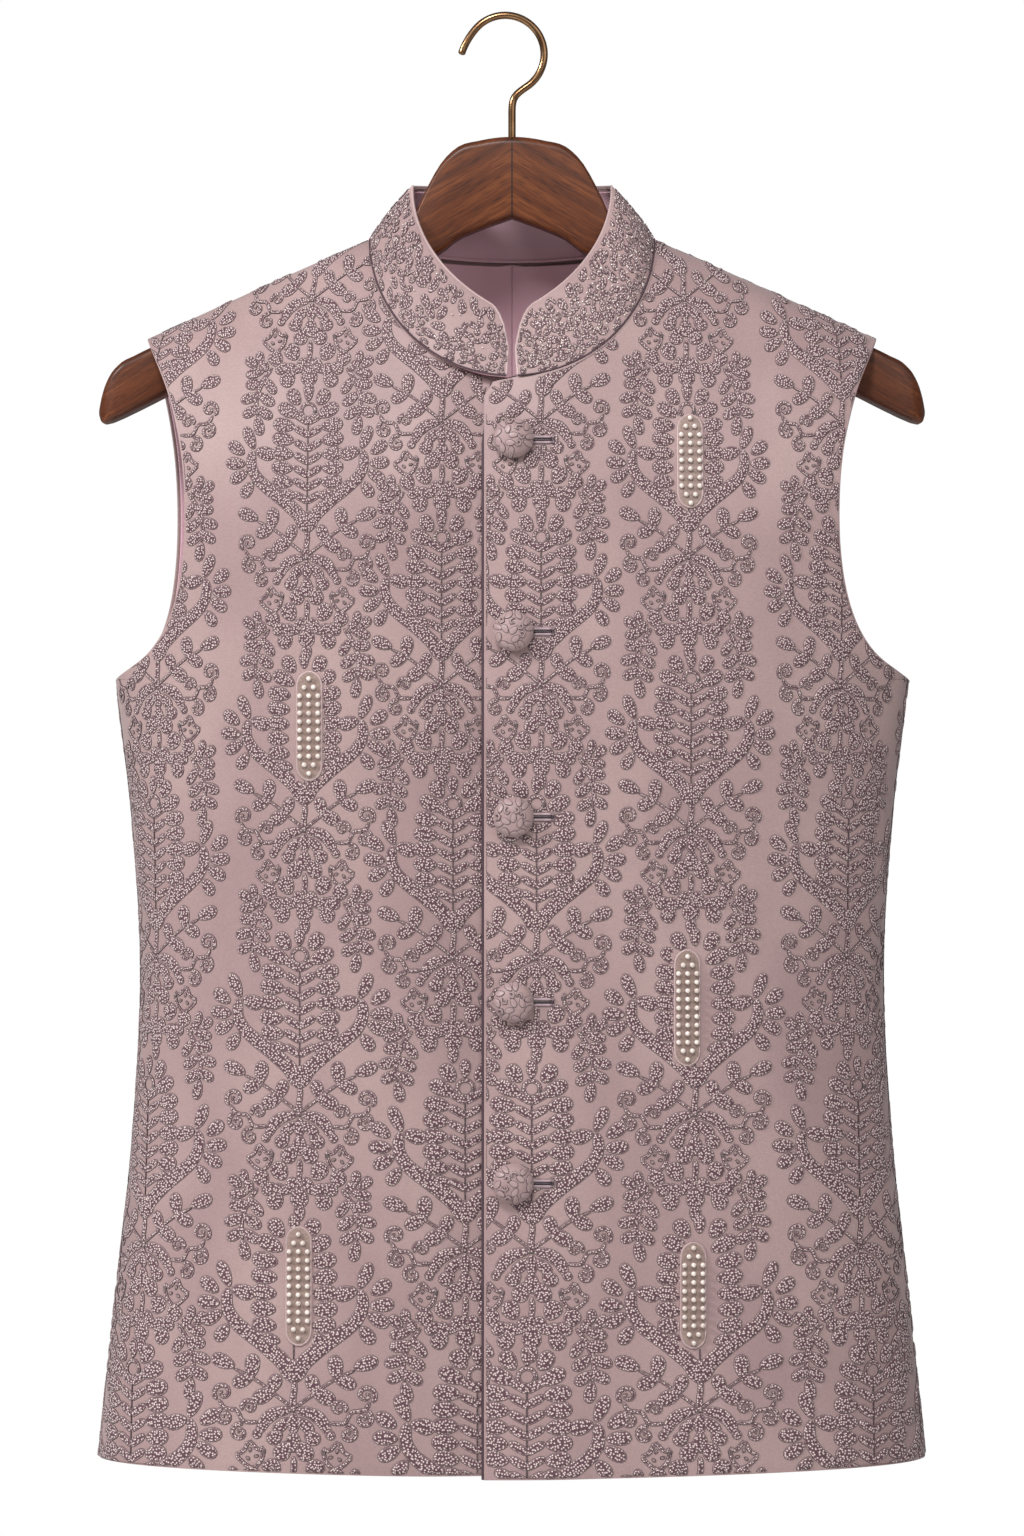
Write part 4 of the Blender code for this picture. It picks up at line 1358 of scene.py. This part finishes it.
def shade_line_satin():
    """Dark satin, painted shade: it shows only as a line of shade at the lap and the collar's
    foot.
    """
    shade = (*linear("#46323b"), 1)
    new_material("shade_line_satin", "dark satin painted as shade", Base_Color=shade, Roughness=0.6)


def lining_satin():
    """Viscose satin lining: darker, smooth, with a broad gloss and soft creases."""
    tree, shader = new_material(
        "lining_satin",
        "viscose satin lining",
        Roughness=0.42,
        Sheen_Weight=0.25,
        Sheen_Roughness=0.35,
        Specular_IOR_Level=0.5,
    )
    place = on_object(tree)
    # Soft unevenness, 45 mm across and 90 mm long.
    soft = noise(tree, place, (22, 22, 11))
    coloured(tree, shader, ramp(tree, soft, ((0.3, "#dcabb9"), (0.7, "#f0c8d3"))))
    # Threads 0.7 mm apart, which float over 3 mm.
    threads = noise(tree, place, (1400, 1400, 300))
    first = bumped(tree, shader, soft, 0.004, 0.5)
    bumped(tree, shader, threads, 0.00008, 0.4, first)


def pearl():
    """Glass pearls: cream lacquer with a soft metallic lustre under a clear coat."""
    tree, shader = new_material(
        "pearl", "glass pearl", Roughness=0.25, Coat_Weight=1.0, Coat_Roughness=0.05
    )
    tint = noise(tree, on_object(tree), (260, 260, 260))
    coloured(tree, shader, ramp(tree, tint, ((0.35, "#cfbfb6"), (0.65, "#ebe0d8"))))


def pearl_ground():
    """Ivory satin under the pearls, darkened all over: partly its own duller colour, partly
    painted shade between the pearls.
    """
    tree, shader = new_material("pearl_ground", "ivory satin", Roughness=0.5, Sheen_Weight=0.2)
    weave = noise(tree, on_object(tree), (900, 900, 900))
    coloured(tree, shader, ramp(tree, weave, ((0.3, "#826c64"), (0.7, "#9a847b"))))
    bumped(tree, shader, weave, 0.0002, 0.6)


def walnut():
    """Lacquered dark walnut: grain along each arm, meeting at a mitre in the middle."""
    tree, shader = new_material(
        "walnut",
        "lacquered walnut",
        Roughness=0.45,
        Specular_IOR_Level=0.3,
        Coat_Weight=0.12,
        Coat_Roughness=0.22,
    )
    axes = add(tree, "ShaderNodeSeparateXYZ", {"Vector": on_object(tree)}).outputs
    across = add(tree, "ShaderNodeMath", {0: axes["X"]}, operation="ABSOLUTE").outputs[0]
    arm = add(tree, "ShaderNodeCombineXYZ", {"X": across, "Y": axes["Y"], "Z": axes["Z"]})
    # The arms fall away at 31 degrees, and the grain with them.
    run = add(
        tree,
        "ShaderNodeMapping",
        {"Vector": arm.outputs["Vector"], "Rotation": (0, math.radians(-31), 0)},
    ).outputs["Vector"]
    # Growth rings 5 mm apart, drawn out 23 times along the grain.
    rings = noise(tree, run, (9, 60, 210), Detail=5.0, Distortion=0.5)
    pores = noise(tree, run, (90, 900, 2200), Detail=2.0)
    colour = ramp(tree, rings, ((0.25, "#3f1c0b"), (0.5, "#5c2d13"), (0.75, "#7b4420")))
    fine = ramp(tree, pores, ((0.34, "#b3aaa4"), (0.50, "#ffffff")))
    wood = mixed(tree, 1.0, colour, fine, "MULTIPLY")
    mitre = between(tree, across, 0.0001, 0.0007)
    coloured(tree, shader, mixed(tree, mitre, "#24130c", wood))
    bumped(tree, shader, pores, 0.0001, 0.4)


def bronzed_wire():
    """Bronzed steel wire: a drawn metal with a brown patina in soft patches."""
    tree, shader = new_material("bronze", "bronzed wire", Metallic=1.0, Roughness=0.24)
    patina = noise(tree, on_object(tree), (90, 90, 90))
    coloured(tree, shader, ramp(tree, patina, ((0.3, "#7f5d42"), (0.7, "#a3805e"))))


def pale_floor():
    """Matt painted floor of a studio, barely uneven."""
    tree, shader = new_material("floor", "pale studio floor", Roughness=0.9)
    grain = noise(tree, on_object(tree), (3, 3, 3))
    coloured(tree, shader, ramp(tree, grain, ((0.3, "#f4f4f4"), (0.7, "#fafafa"))))


# ---------------------------------------------------------------- add-on


class JacketSettings(bpy.types.PropertyGroup):
    """Sizes that a user would change."""

    knot: FloatProperty(
        name="Knot", description="Size of the embroidery's knots", default=0.00145, unit="LENGTH"
    )
    pearl: FloatProperty(
        name="Pearl", description="Diameter of a pearl", default=0.0029, unit="LENGTH"
    )
    bead: FloatProperty(
        name="Bead", description="Diameter of the collar's beads", default=0.0011, unit="LENGTH"
    )
    piping: FloatProperty(
        name="Piping", description="Radius of the collar's piping", default=0.0008, unit="LENGTH"
    )


class Builder:
    """Options that the operators share."""

    bl_options = {"REGISTER", "UNDO"}


class JACKET_OT_materials(Builder, bpy.types.Operator):
    """Make the cloths, the wood and the metal."""

    bl_idname = "jacket.materials"
    bl_label = "Materials"

    def execute(self, context):
        silk("silk", "mauve silk", "#ac9290", "#9e8383", 0.5, 0.2)
        silk("piping_silk", "mauve silk piping", "#bfa6a5", "#b29998", 0.4, 0.3)
        knot_embroidery(context.scene.jacket)
        # The welts' and the buttons' dark lines are partly sewn edges, partly painted shade.
        outlined_satin("welt_satin", "satin welt", "#3a2a31", "#a58c92")
        outlined_satin("button_satin", "fine silk embroidery", "#4e3841", "#a38a89")
        shade_line_satin()
        lining_satin()
        pearl()
        pearl_ground()
        walnut()
        bronzed_wire()
        pale_floor()
        return {"FINISHED"}


def tree_places(columns):
    """Flat places of the trees in some columns, as (arc, height, sizes).

    The sizes stretch a tree across, above its arms' meeting and below it.
    """
    places = []
    for chest, hem, kind in columns:
        for height, below in TREES[kind]:
            down = np.clip((CHEST - height) / (CHEST - HEM), 0, 1.1)
            sizes = (0.92 + 0.23 * down, 0.98 + 0.13 * down, below)
            places.append((chest + (hem - chest) * down, height, sizes))
    return places


def pearl_span(panel, place):
    """The run of a tree's heights, in mm, that a pearl panel covers, if one does."""
    x = panel.spread(np.array([place[:2]]))[0, 0]
    for across, height, length in PEARL_PANELS:
        up = height - place[1]
        if panel.side == FRONT and abs(x - across) < 0.02 and 0.02 < up < 0.07:
            return ((up - length / 2) * 1000, (up + length / 2) * 1000)
    return None


def dress(name, panel, columns, limit=None):
    """Embroider a panel with columns of trees."""
    places = tree_places(columns)
    bare = [place for place in places if pearl_span(panel, place) is None]
    parts = [lay(panel, tree_stitches(), bare, limit)]
    for place in places:
        span = pearl_span(panel, place)
        if span:
            parts.append(lay(panel, tree_stitches(span), [place], limit))
    return embroidery(name, parts)


class JACKET_OT_fronts(Builder, bpy.types.Operator):
    """Cut and embroider the two fronts."""

    bl_idname = "jacket.fronts"
    bl_label = "Fronts"

    def execute(self, context):
        for name, mirror, edge, layer in (
            ("front_left", 1, -LAP_OVER, "over"),
            ("front_right", -1, -LAP_UNDER, "under"),
        ):
            fine = half_panel(FRONT, mirror, edge, layer)
            inside = fine - SHELL * outward(fine, FRONT)
            cut = wall(name + "_cloth", [(fine, inside)])
            soften(cut, 0.0009, 3)
            finish(cut, "silk")
            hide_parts(name)
            limit = LAP_OVER - 0.0008 if layer == "under" else None
            raised = [dress(name + "_embroidery", front_panel(layer), COLUMNS[layer], limit)]
            if layer == "over":
                raised.append(lap_shade_line(fine))
            raised.append(side_seam(name + "_side_seam", mirror))
        return {"FINISHED"}


def lap_shade_line(fine):
    """A dark cord just behind the over front's edge: painted shade, a dark line beside the lap."""
    edge = fine[::FINE, 0] + (-0.0006, SHELL - 0.0002, 0)
    # Painted shade: a dark cord tucked behind the edge stands for the shadow where the fronts lap.
    facing = tube("front_lap_shade_line", edge[:-NECK_STEPS], 0.0008, resolution=1)
    finish(facing, "shade_line_satin")
    return facing


def side_seam(name, mirror):
    """The side seam's allowance, pressed inside."""
    z = np.linspace(HEM_SIDE + 0.002, ARMPIT - 0.001, 60)
    x = mirror * (through(BODY[:, 0], BODY[:, 1], z) - 0.0016)
    allowance = tube(name, np.stack([x, 0 * z, z], axis=1), 0.0011, resolution=1)
    finish(allowance, "silk")
    return allowance


class JACKET_OT_back(Builder, bpy.types.Operator):
    """Cut and embroider the back."""

    bl_idname = "jacket.back"
    bl_label = "Back"

    def execute(self, context):
        sheets = []
        for mirror in (-1, 1):
            fine, normals = back_half(mirror)
            inside = fine - SHELL * normals
            sheets.append((fine[:, ::mirror], inside[:, ::mirror]))
        cut = wall("back_cloth", sheets)
        soften(cut, 0.0005)
        finish(cut, "silk")
        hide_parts("back")
        panel = back_panel()
        raised = [
            dress("back_embroidery_" + part, panel, COLUMNS["back " + part])
            for part in ("left", "middle", "right")
        ]
        return {"FINISHED"}


class JACKET_OT_back_linings(Builder, bpy.types.Operator):
    """Line the back in two halves, and bind its neck with satin."""

    bl_idname = "jacket.back_linings"
    bl_label = "Back Linings"

    def execute(self, context):
        x, z = neck_curve(BACK, np.linspace(0, 0.98, 60))
        seam = np.stack([x, cloth(x, z, BACK) - SHELL - NECK_BINDING, z - 0.0001], axis=1)
        seam = np.concatenate([seam[:0:-1] * (-1, 1, 1), seam])
        binding = tube("neck_binding", seam, NECK_BINDING, resolution=2)
        finish(binding, "lining_satin")
        for name, mirror in (("back_lining_left", 1), ("back_lining_right", -1)):
            fine, normals = back_half(mirror)
            fine[: MIDDLE_ROWS * FINE + 1, 0, 0] = mirror * GAP / 2
            outer = drawn_in(fine - (SHELL + LINING_GAP) * normals)
            inner = drawn_in(fine - (SHELL + LINING_GAP + LINING) * normals)
            cut = wall(name + "_satin", [(outer, inner)])
            soften(cut, 0.0003)
            finish(cut, "lining_satin")
            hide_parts(name)
        return {"FINISHED"}


def drawn_in(face):
    """Draw a lining's hem, top, side and neck in from the cloth's edges, and spread
    the rows and columns beside them evenly."""
    neck = MIDDLE_ROWS * FINE + 1
    face[0] += HEM_SHARE * (face[FINE] - face[0])
    face[-1] += EDGE_SHARE * (face[-1 - FINE] - face[-1])
    face[:, -1] += EDGE_SHARE * (face[:, -1 - FINE] - face[:, -1])
    face[neck:, 0] += EDGE_SHARE * (face[neck:, FINE] - face[neck:, 0])
    for k in range(1, FINE):
        share = k / FINE
        face[k] = face[0] * (1 - share) + face[FINE] * share
        face[-1 - k] = face[-1] * (1 - share) + face[-1 - FINE] * share
        face[:, -1 - k] = face[:, -1] * (1 - share) + face[:, -1 - FINE] * share
    return face


class CollarMap:
    """The map from the collar's flat band onto its curved surface."""

    def __init__(self):
        self.grid = collar_surface()
        self.normals = collar_normals(self.grid)
        rows = self.grid.shape[0]
        self.along = lengths_along(self.grid[rows // 2])
        steps = np.linalg.norm(np.diff(self.grid, axis=0), axis=2)
        self.height = steps.sum(axis=0)

    def points(self, flat, lift):
        """Points this far above the collar at flat (along, up) places.

        What lies past its top edge is drawn back under the piping.
        """
        rows, columns = self.grid.shape[:2]
        column = np.interp(flat[:, 0], self.along, np.arange(columns))
        height = np.interp(column, np.arange(columns), self.height)
        row = np.clip(flat[:, 1] / height, 0.02, 0.955) * (rows - 1)
        lift = np.where(flat[:, 1] > height * 0.98, -0.0003, lift)
        normals = unit(read_grid(self.normals, row, column))
        return read_grid(self.grid, row, column) + lift[:, None] * normals


class JACKET_OT_collar(Builder, bpy.types.Operator):
    """Make the collar, with its lining, piping, embroidery and beads."""

    bl_idname = "jacket.collar"
    bl_label = "Collar"

    def execute(self, context):
        settings = context.scene.jacket
        fine = collar_surface()
        normals = collar_normals(fine)
        band = wall("collar_cloth", [(fine, fine - SHELL * normals)])
        soften(band, 0.0006)
        finish(band, "silk")
        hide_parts("collar")
        inside, into = fine[1:-1, 1:-1], normals[1:-1, 1:-1]
        outer, inner = (inside - depth * into for depth in (SHELL + GAP, SHELL + GAP + LINING))
        lining = wall("collar_lining_satin", [(outer, inner)])
        soften(lining, 0.0003)
        finish(lining, "lining_satin")
        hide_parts("collar_lining")

        rim = np.concatenate([fine[1:, 0], fine[-1, 1:-1], fine[:0:-1, -1]])
        rim_normals = np.concatenate([normals[1:, 0], normals[-1, 1:-1], normals[:0:-1, -1]])
        cord = tube(
            "collar_piping", rim - (settings.piping - 0.0002) * rim_normals, settings.piping
        )
        finish(cord, "piping_silk")
        # Painted shade: a dark cord along the collar's foot stands for the shade at its seam.
        seam = tube("collar_foot_shade_line", fine[0] + 0.0003 * normals[0], 0.0005, resolution=1)
        finish(seam, "shade_line_satin")

        place = CollarMap()
        raised, beads = collar_stitches(place, settings)
        return {"FINISHED"}


def collar_stitches(place, settings):
    """Scattered leaves, sprigs, curls and beads, smaller than on the body."""
    random = np.random.default_rng(7)
    made = Stitches()
    length, height = place.along[-1], COLLAR_HEIGHT
    first, step = 0.0035, 0.0072
    spots = []
    # A half-drop grid of spots, each a little off its place.
    for i, s in enumerate(np.arange(first, length - 0.003, step)):
        for j in range(6):
            up = first + j * step + (i % 2) * step / 2 + random.uniform(-0.001, 0.001)
            if up < height + 0.002:
                spots.append((s + random.uniform(-0.0012, 0.0012), up))
    for s, up in spots:
        turn = random.uniform(0, 360)
        kind = random.integers(0, 5)
        # A few are left out towards the wearer's right.
        if random.uniform(0, 1) > 0.88 + 0.3 * s / length:
            continue
        if kind == 0:
            made.spiral(s, up, 0.0038, turn, 1.2 * random.choice((-1, 1)), 0.0026)
        elif kind in (1, 2):
            for angle in (turn, turn + 115, turn + 235):
                x, z = (s, up) + 0.0025 * direction(angle)
                made.leaf(x, z, angle, 0.0058, 0.0044, 0.0005, 10)
        else:
            made.leaf(s, up, turn, random.uniform(0.0076, 0.0098), 0.0062, 0.0006, 12)
    flat, lift, depth, thread, _ = made.arrays()
    raised = stitched_object(
        "collar_embroidery", place.points(flat, lift), depth, thread, made.faces
    )
    # The beads lie closer together towards the wearer's left.
    count = 440
    along = length * (0.01 + 0.98 * random.uniform(0, 1, count) ** 0.6)
    at = np.stack([along, random.uniform(0.003, height - 0.001, count)], axis=1)
    beads = balls("collar_beads", place.points(at, np.full(count, 0.0006)), settings.bead, 1)
    finish(beads, "pearl")
    return raised, beads


def button_frames():
    """Place and outward direction of each button's seat."""
    x = np.full(len(BUTTON_HEIGHTS), BUTTON_ACROSS)
    z = np.array(BUTTON_HEIGHTS)
    points = np.stack([x, cloth(x, z, FRONT) + lap(x, "over"), z], axis=1)
    return points, surface_normal(x, z, FRONT)


class JACKET_OT_buttons(Builder, bpy.types.Operator):
    """Cover the domed buttons with embroidered silk."""

    bl_idname = "jacket.buttons"
    bl_label = "Buttons"

    def execute(self, context):
        rings = button_rings()
        stitches = button_stitches()
        flat, lift, depth, thread, _ = stitches.arrays()
        on_dome = points_on_dome(flat, lift)
        for number, (place, normal) in enumerate(zip(*button_frames()), 1):
            turn = np.array(Vector(normal).to_track_quat("Z", "Y").to_matrix()).T
            seat = place + GAP * normal
            cover = drawn_through(f"button_{number}_cover", [ring @ turn + seat for ring in rings])
            smooth(cover, 60)
            finish(cover, "silk")
            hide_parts(f"button_{number}")
            # Each button is covered with another stretch of the same cloth.
            cos, sin = direction(37 * (number - 1))
            spin = np.array([[cos, sin, 0], [-sin, cos, 0], [0, 0, 1]])
            motif = stitched_object(
                f"button_{number}_embroidery", on_dome @ spin @ turn + seat, depth,
                thread, stitches.faces,
            )
            finish(motif, "button_satin")
        return {"FINISHED"}


def button_rings(steps=48):
    """Rings of a button from its shank's foot to the top of its dome."""
    profile = [
        (SHANK_RADIUS, 0.0),
        (SHANK_RADIUS, SHANK_LENGTH),
        (BUTTON_RADIUS * 0.90, SHANK_LENGTH),
        (BUTTON_RADIUS * 0.97, SHANK_LENGTH + 0.0004),
    ]
    for angle in np.linspace(0, math.pi / 2, 13)[:-1]:
        profile.append((BUTTON_RADIUS * math.cos(angle) ** BUTTON_POWER, dome_height(angle)))
    profile.append((0.0004, SHANK_LENGTH + BUTTON_DOME))
    turn = 2 * math.pi * np.arange(steps) / steps
    circle = np.stack([np.cos(turn), np.sin(turn)], axis=1)
    return [
        np.concatenate([circle * radius, np.full((steps, 1), up)], axis=1)
        for radius, up in profile
    ]


def dome_height(angle):
    return SHANK_LENGTH + BUTTON_RIM + (BUTTON_DOME - BUTTON_RIM) * np.sin(angle)


def points_on_dome(flat, lift):
    """Flat points laid over a button's dome, with its axis along Z."""
    reach = np.minimum(np.linalg.norm(flat, axis=1) / BUTTON_RADIUS, 0.985)
    angle = np.arccos(reach ** (1 / BUTTON_POWER))
    slope = np.column_stack([flat, 0.010 * np.sin(angle) + 0.001])
    dome = np.column_stack([flat, dome_height(angle)])
    return dome + (lift + 0.0001)[:, None] * unit(slope)


def button_stitches():
    """Leaves and curls packed over a button, small and close, with some bare silk."""
    random = np.random.default_rng(5)
    made = Stitches()
    # From the middle out: how far each ring of motifs lies, and how many it has.
    for radius, count in ((0.0, 1), (0.0046, 6), (0.0088, 11)):
        for spot in range(count):
            around = 2 * math.pi * (spot + random.uniform(-0.2, 0.2)) / count
            across, up = radius * math.cos(around), radius * math.sin(around)
            kind, turn = random.uniform(0, 1), random.uniform(0, 360)
            if kind < 0.2:
                made.spiral(across, up, 0.0021, turn, 1.1, 0.0017)
            elif kind < 0.88:
                made.leaf(across, up, turn, 0.0056, 0.0038, 0.0003, 12)
    return made


class JACKET_OT_buttonholes(Builder, bpy.types.Operator):
    """Bind the buttonholes with two welts and a bar."""

    bl_idname = "jacket.buttonholes"
    bl_label = "Buttonholes"

    def execute(self, context):
        made = Stitches()
        run = np.linspace(HOLE_INNER, HOLE_OUTER, 5)
        for z in BUTTON_HEIGHTS:
            # Two welts, and the slit between them: up from it, width, thickness.
            for up, width, thick in (
                (-0.0015, 0.0022, 0.0010),
                (0.0015, 0.0022, 0.0010),
                (0, 0.0014, 0.0005),
            ):
                made.band([(x, z + up) for x in run], (width,) * 3, thick)
            bar = [(HOLE_OUTER, z + up) for up in np.linspace(-0.0026, 0.0026, 4)]
            made.band(bar, (0.0015,) * 3, 0.0014, step=0.001)
        flat, lift, depth, thread, _ = made.arrays()
        x, z = flat.T
        # The slit between the welts is painted as dark as their edges: painted shade in the
        # opening.
        away = np.abs(z[:, None] - np.array(BUTTON_HEIGHTS)).min(axis=1)
        depth = np.where(away < SLIT, 0, depth)
        y = cloth(x, z, FRONT) - GAP / 2 + lap(x, "over")
        points = np.stack([x, y, z], axis=1) + lift[:, None] * surface_normal(x, z, FRONT)
        welts = stitched_object("buttonhole_welts", points, depth, thread, made.faces)
        finish(welts, "welt_satin")
        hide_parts(*(f"buttonhole_{i}" for i in range(1, 6)))
        return {"FINISHED"}


class JACKET_OT_pearl_panels(Builder, bpy.types.Operator):
    """Sew the pearls on their lozenges."""

    bl_idname = "jacket.pearl_panels"
    bl_label = "Pearl Panels"

    def execute(self, context):
        pearl_size = context.scene.jacket.pearl
        places = []
        for number, (across, height, length) in enumerate(PEARL_PANELS, 1):
            points, normals = lozenge(across, height, length)
            inner = points + GAP * normals
            ground = wall(f"pearl_ground_{number}", [(inner + PEARL_PANEL_THICK * normals, inner)])
            soften(ground, 0.0003)
            finish(ground, "pearl_ground")
            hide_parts(f"pearl_panel_{number}")
            edge = around(points) + PEARL_CORD_LIFT * around(normals)
            cord = tube(f"pearl_cord_{number}", edge, PEARL_CORD, closed=True, resolution=1)
            finish(cord, "piping_silk")
            rows = int((length - PEARL_END) / PEARL_PITCH[1]) + 1
            for row in range(rows):
                up = (row - (rows - 1) / 2) * PEARL_PITCH[1]
                from_end = min(row, rows - 1 - row)
                for column in ((0,), (-0.5, 0.5))[from_end] if from_end < 2 else (-1, 0, 1):
                    places.append((across + column * PEARL_PITCH[0], height + up))
        points, normals = front_face(*np.array(places).T)
        seats = points + (GAP + PEARL_PANEL_THICK + pearl_size * PEARL_SUNK) * normals
        finish(balls("pearls", seats, pearl_size, 2), "pearl")
        return {"FINISHED"}


def lozenge(across, height, length):
    """Grid of points and normals over a pearl panel's place on the cloth."""
    up = np.linspace(-length / 2, length / 2, 41)
    past = np.clip(np.abs(up) - length / 2 + PEARL_PANEL_END, 0, None)
    half = PEARL_PANEL_WIDTH / 2 - PEARL_PANEL_MARGIN
    width = half * np.sqrt(1.0 - (past / PEARL_PANEL_END) ** 2 * 0.96)
    side = np.linspace(-1, 1, 9)
    return front_face(across + width[:, None] * side, height + up[:, None] + 0 * side)


def around(grid):
    """The outer points of a grid, as a closed run."""
    return np.concatenate([grid[:, 0], grid[-1, 1:], grid[-2::-1, -1], grid[0, -2:0:-1]])


def front_face(x, z):
    """The outer face of whichever front lies at x, well away from the lap."""
    layer_shift = np.where(x > 0, lap(x, "over"), lap(-x, "under"))
    points = np.stack([x, cloth(x, z, FRONT) + layer_shift, z], axis=-1)
    return points, surface_normal(x, z, FRONT)


class JACKET_OT_hanger(Builder, bpy.types.Operator):
    """Shape the wooden hanger: flat faces with rounded edges, drawn along both arms."""

    bl_idname = "jacket.hanger"
    bl_label = "Hanger"

    def execute(self, context):
        across, top, bottom, half = HANGER.T
        mirrored = np.concatenate([-across[:0:-1], across])
        # The stations come closer together towards the tip.
        tip = HANGER_TIP_FROM + (across[-1] - HANGER_TIP_FROM) * np.sin(
            np.linspace(0, math.pi / 2, 24)
        )
        x = np.concatenate([np.linspace(0, HANGER_TIP_FROM, 58), tip[1:]])
        tops = through(mirrored, np.concatenate([top[:0:-1], top]), x)
        halves = through(mirrored, np.concatenate([half[:0:-1], half]), x)
        bottoms = through(across, bottom, x)
        rings = [hanger_ring(*station) for station in zip(x, tops, bottoms, halves)]
        left = [ring * (-1, 1, 1) for ring in rings[:0:-1]]
        wood = drawn_through("hanger_walnut", left + rings)
        smooth(wood, 38)
        finish(wood, "walnut")
        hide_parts("hanger_wood")
        return {"FINISHED"}


def hanger_ring(x, top, bottom, half):
    """A rounded rectangle across the hanger."""
    rise = (top - bottom) / 2
    radius = min(HANGER_EDGE, 0.92 * rise, 0.92 * half)
    ring = []
    for sign_y, sign_z, start in ((1, 1, 0), (-1, 1, 90), (-1, -1, 180), (1, -1, 270)):
        for degrees in np.linspace(start, start + 90, 8):
            angle = math.radians(degrees)
            ring.append((
                x,
                sign_y * (half - radius) + radius * math.cos(angle),
                (top + bottom) / 2 + sign_z * (rise - radius) + radius * math.sin(angle),
            ))
    return np.array(ring)


class JACKET_OT_hook(Builder, bpy.types.Operator):
    """Bend the hook from round wire."""

    bl_idname = "jacket.hook"
    bl_label = "Hook"

    def execute(self, context):
        inner = HOOK_RADIUS - HOOK_WIRE
        centre = np.array([HOOK_SHIFT, -math.sqrt(inner**2 - HOOK_SHIFT**2)])
        points = []
        for degrees in np.linspace(HOOK_TIP, HOOK_TURN, 80):
            past = (degrees - HOOK_FLARE_FROM) / (HOOK_TIP - HOOK_FLARE_FROM)
            radius = HOOK_RADIUS + HOOK_FLARE * max(past, 0) ** 2
            points.append(centre + radius * direction(degrees))
        start, before = points[-1], points[-2]
        heading = unit(start - before)
        end = np.array([0.0, STEM_START])
        pull = np.linalg.norm(end - start)
        for t in np.linspace(0, 1, 25)[1:]:
            handles = (start, start + heading * pull * 0.5, end + (0, pull * 0.5), end)
            weights = ((1 - t) ** 3, 3 * t * (1 - t) ** 2, 3 * t**2 * (1 - t), t**3)
            points.append(sum(w * np.asarray(h) for w, h in zip(weights, handles)))
        for z in np.linspace(STEM_START, HANGER[0, 1] - STEM_IN_WOOD + GAP, 6)[1:]:
            points.append(np.array([0.0, z]))
        tip = unit(points[0] - points[1])
        # The wire's end is rounded over a length of its own radius.
        cap, shares = [], []
        for angle in np.linspace(math.pi / 2, 0, 7)[:-1]:
            cap.append(points[0] + tip * HOOK_WIRE * 0.6 * math.sin(angle))
            shares.append(max(0.12, math.cos(angle)))
        line = np.array(cap + points)
        path = np.stack([line[:, 0], np.zeros(len(line)), line[:, 1]], axis=1)
        wire = tube("hook_wire", path, HOOK_WIRE, shares + [1.0] * len(points), resolution=6)
        finish(wire, "bronze")
        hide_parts("hanger_hook")
        return {"FINISHED"}


class JACKET_OT_stage(Builder, bpy.types.Operator):
    """Set the floor, the lights and the camera."""

    bl_idname = "jacket.stage"
    bl_label = "Stage"

    def execute(self, context):
        deselect()
        bpy.ops.mesh.primitive_circle_add(
            vertices=64, radius=FLOOR_RADIUS, fill_type="NGON", location=(0, 0, FLOOR_HEIGHT)
        )
        floor = context.object
        floor.name = "studio_floor"
        settle(floor)
        floor.data.materials.append(MATERIALS["floor"])

        world = bpy.data.worlds.new("white studio")
        context.scene.world = world
        world.use_nodes = True
        tree = world.node_tree
        # The camera sees white, and the jacket is lit by a dimmer surround.
        seen = add(tree, "ShaderNodeLightPath").outputs["Is Camera Ray"]
        level = between(tree, seen, 0.0, 1.0, start=SURROUND)
        background = tree.nodes["Background"]
        background.inputs["Color"].default_value = (1, 1, 1, 1)
        tree.links.new(level, background.inputs["Strength"])
        for name, place, aim, size, power in LIGHTS:
            light = bpy.data.lights.new(name, "AREA")
            light.size = size
            light.energy = power
            lamp = bpy.data.objects.new(name, light)
            lamp.location = place
            lamp.rotation_euler = (Vector(aim) - Vector(place)).to_track_quat("-Z", "Y").to_euler()
            context.scene.collection.objects.link(lamp)

        lens = bpy.data.cameras.new("camera")
        lens.sensor_width = 36
        lens.lens = CAMERA_LENS
        camera = bpy.data.objects.new("camera", lens)
        camera.location = CAMERA_PLACE
        camera.rotation_euler = (math.pi / 2, 0, 0)
        context.scene.collection.objects.link(camera)
        context.scene.camera = camera
        context.scene.view_settings.view_transform = "Standard"
        return {"FINISHED"}


class JACKET_PT_panel(bpy.types.Panel):
    """The jacket's settings and pieces."""

    bl_label = "Jacket"
    bl_idname = "JACKET_PT_panel"
    bl_space_type = "VIEW_3D"
    bl_region_type = "UI"
    bl_category = "Jacket"

    def draw(self, context):
        settings = context.scene.jacket
        for name in ("knot", "pearl", "bead", "piping"):
            self.layout.prop(settings, name)
        for step in STEPS:
            self.layout.operator(step.bl_idname)


STEPS = (
    JACKET_OT_materials,
    JACKET_OT_fronts,
    JACKET_OT_back,
    JACKET_OT_back_linings,
    JACKET_OT_collar,
    JACKET_OT_buttons,
    JACKET_OT_buttonholes,
    JACKET_OT_pearl_panels,
    JACKET_OT_hanger,
    JACKET_OT_hook,
    JACKET_OT_stage,
)
CLASSES = (JacketSettings, *STEPS, JACKET_PT_panel)


def register():
    for item in CLASSES:
        bpy.utils.register_class(item)
    bpy.types.Scene.jacket = PointerProperty(type=JacketSettings)


def unregister():
    del bpy.types.Scene.jacket
    for item in reversed(CLASSES):
        bpy.utils.unregister_class(item)


def main():
    register()
    deselect()
    for step in STEPS:
        group, name = step.bl_idname.split(".")
        getattr(getattr(bpy.ops, group), name)()


if __name__ == "__main__":
    main()
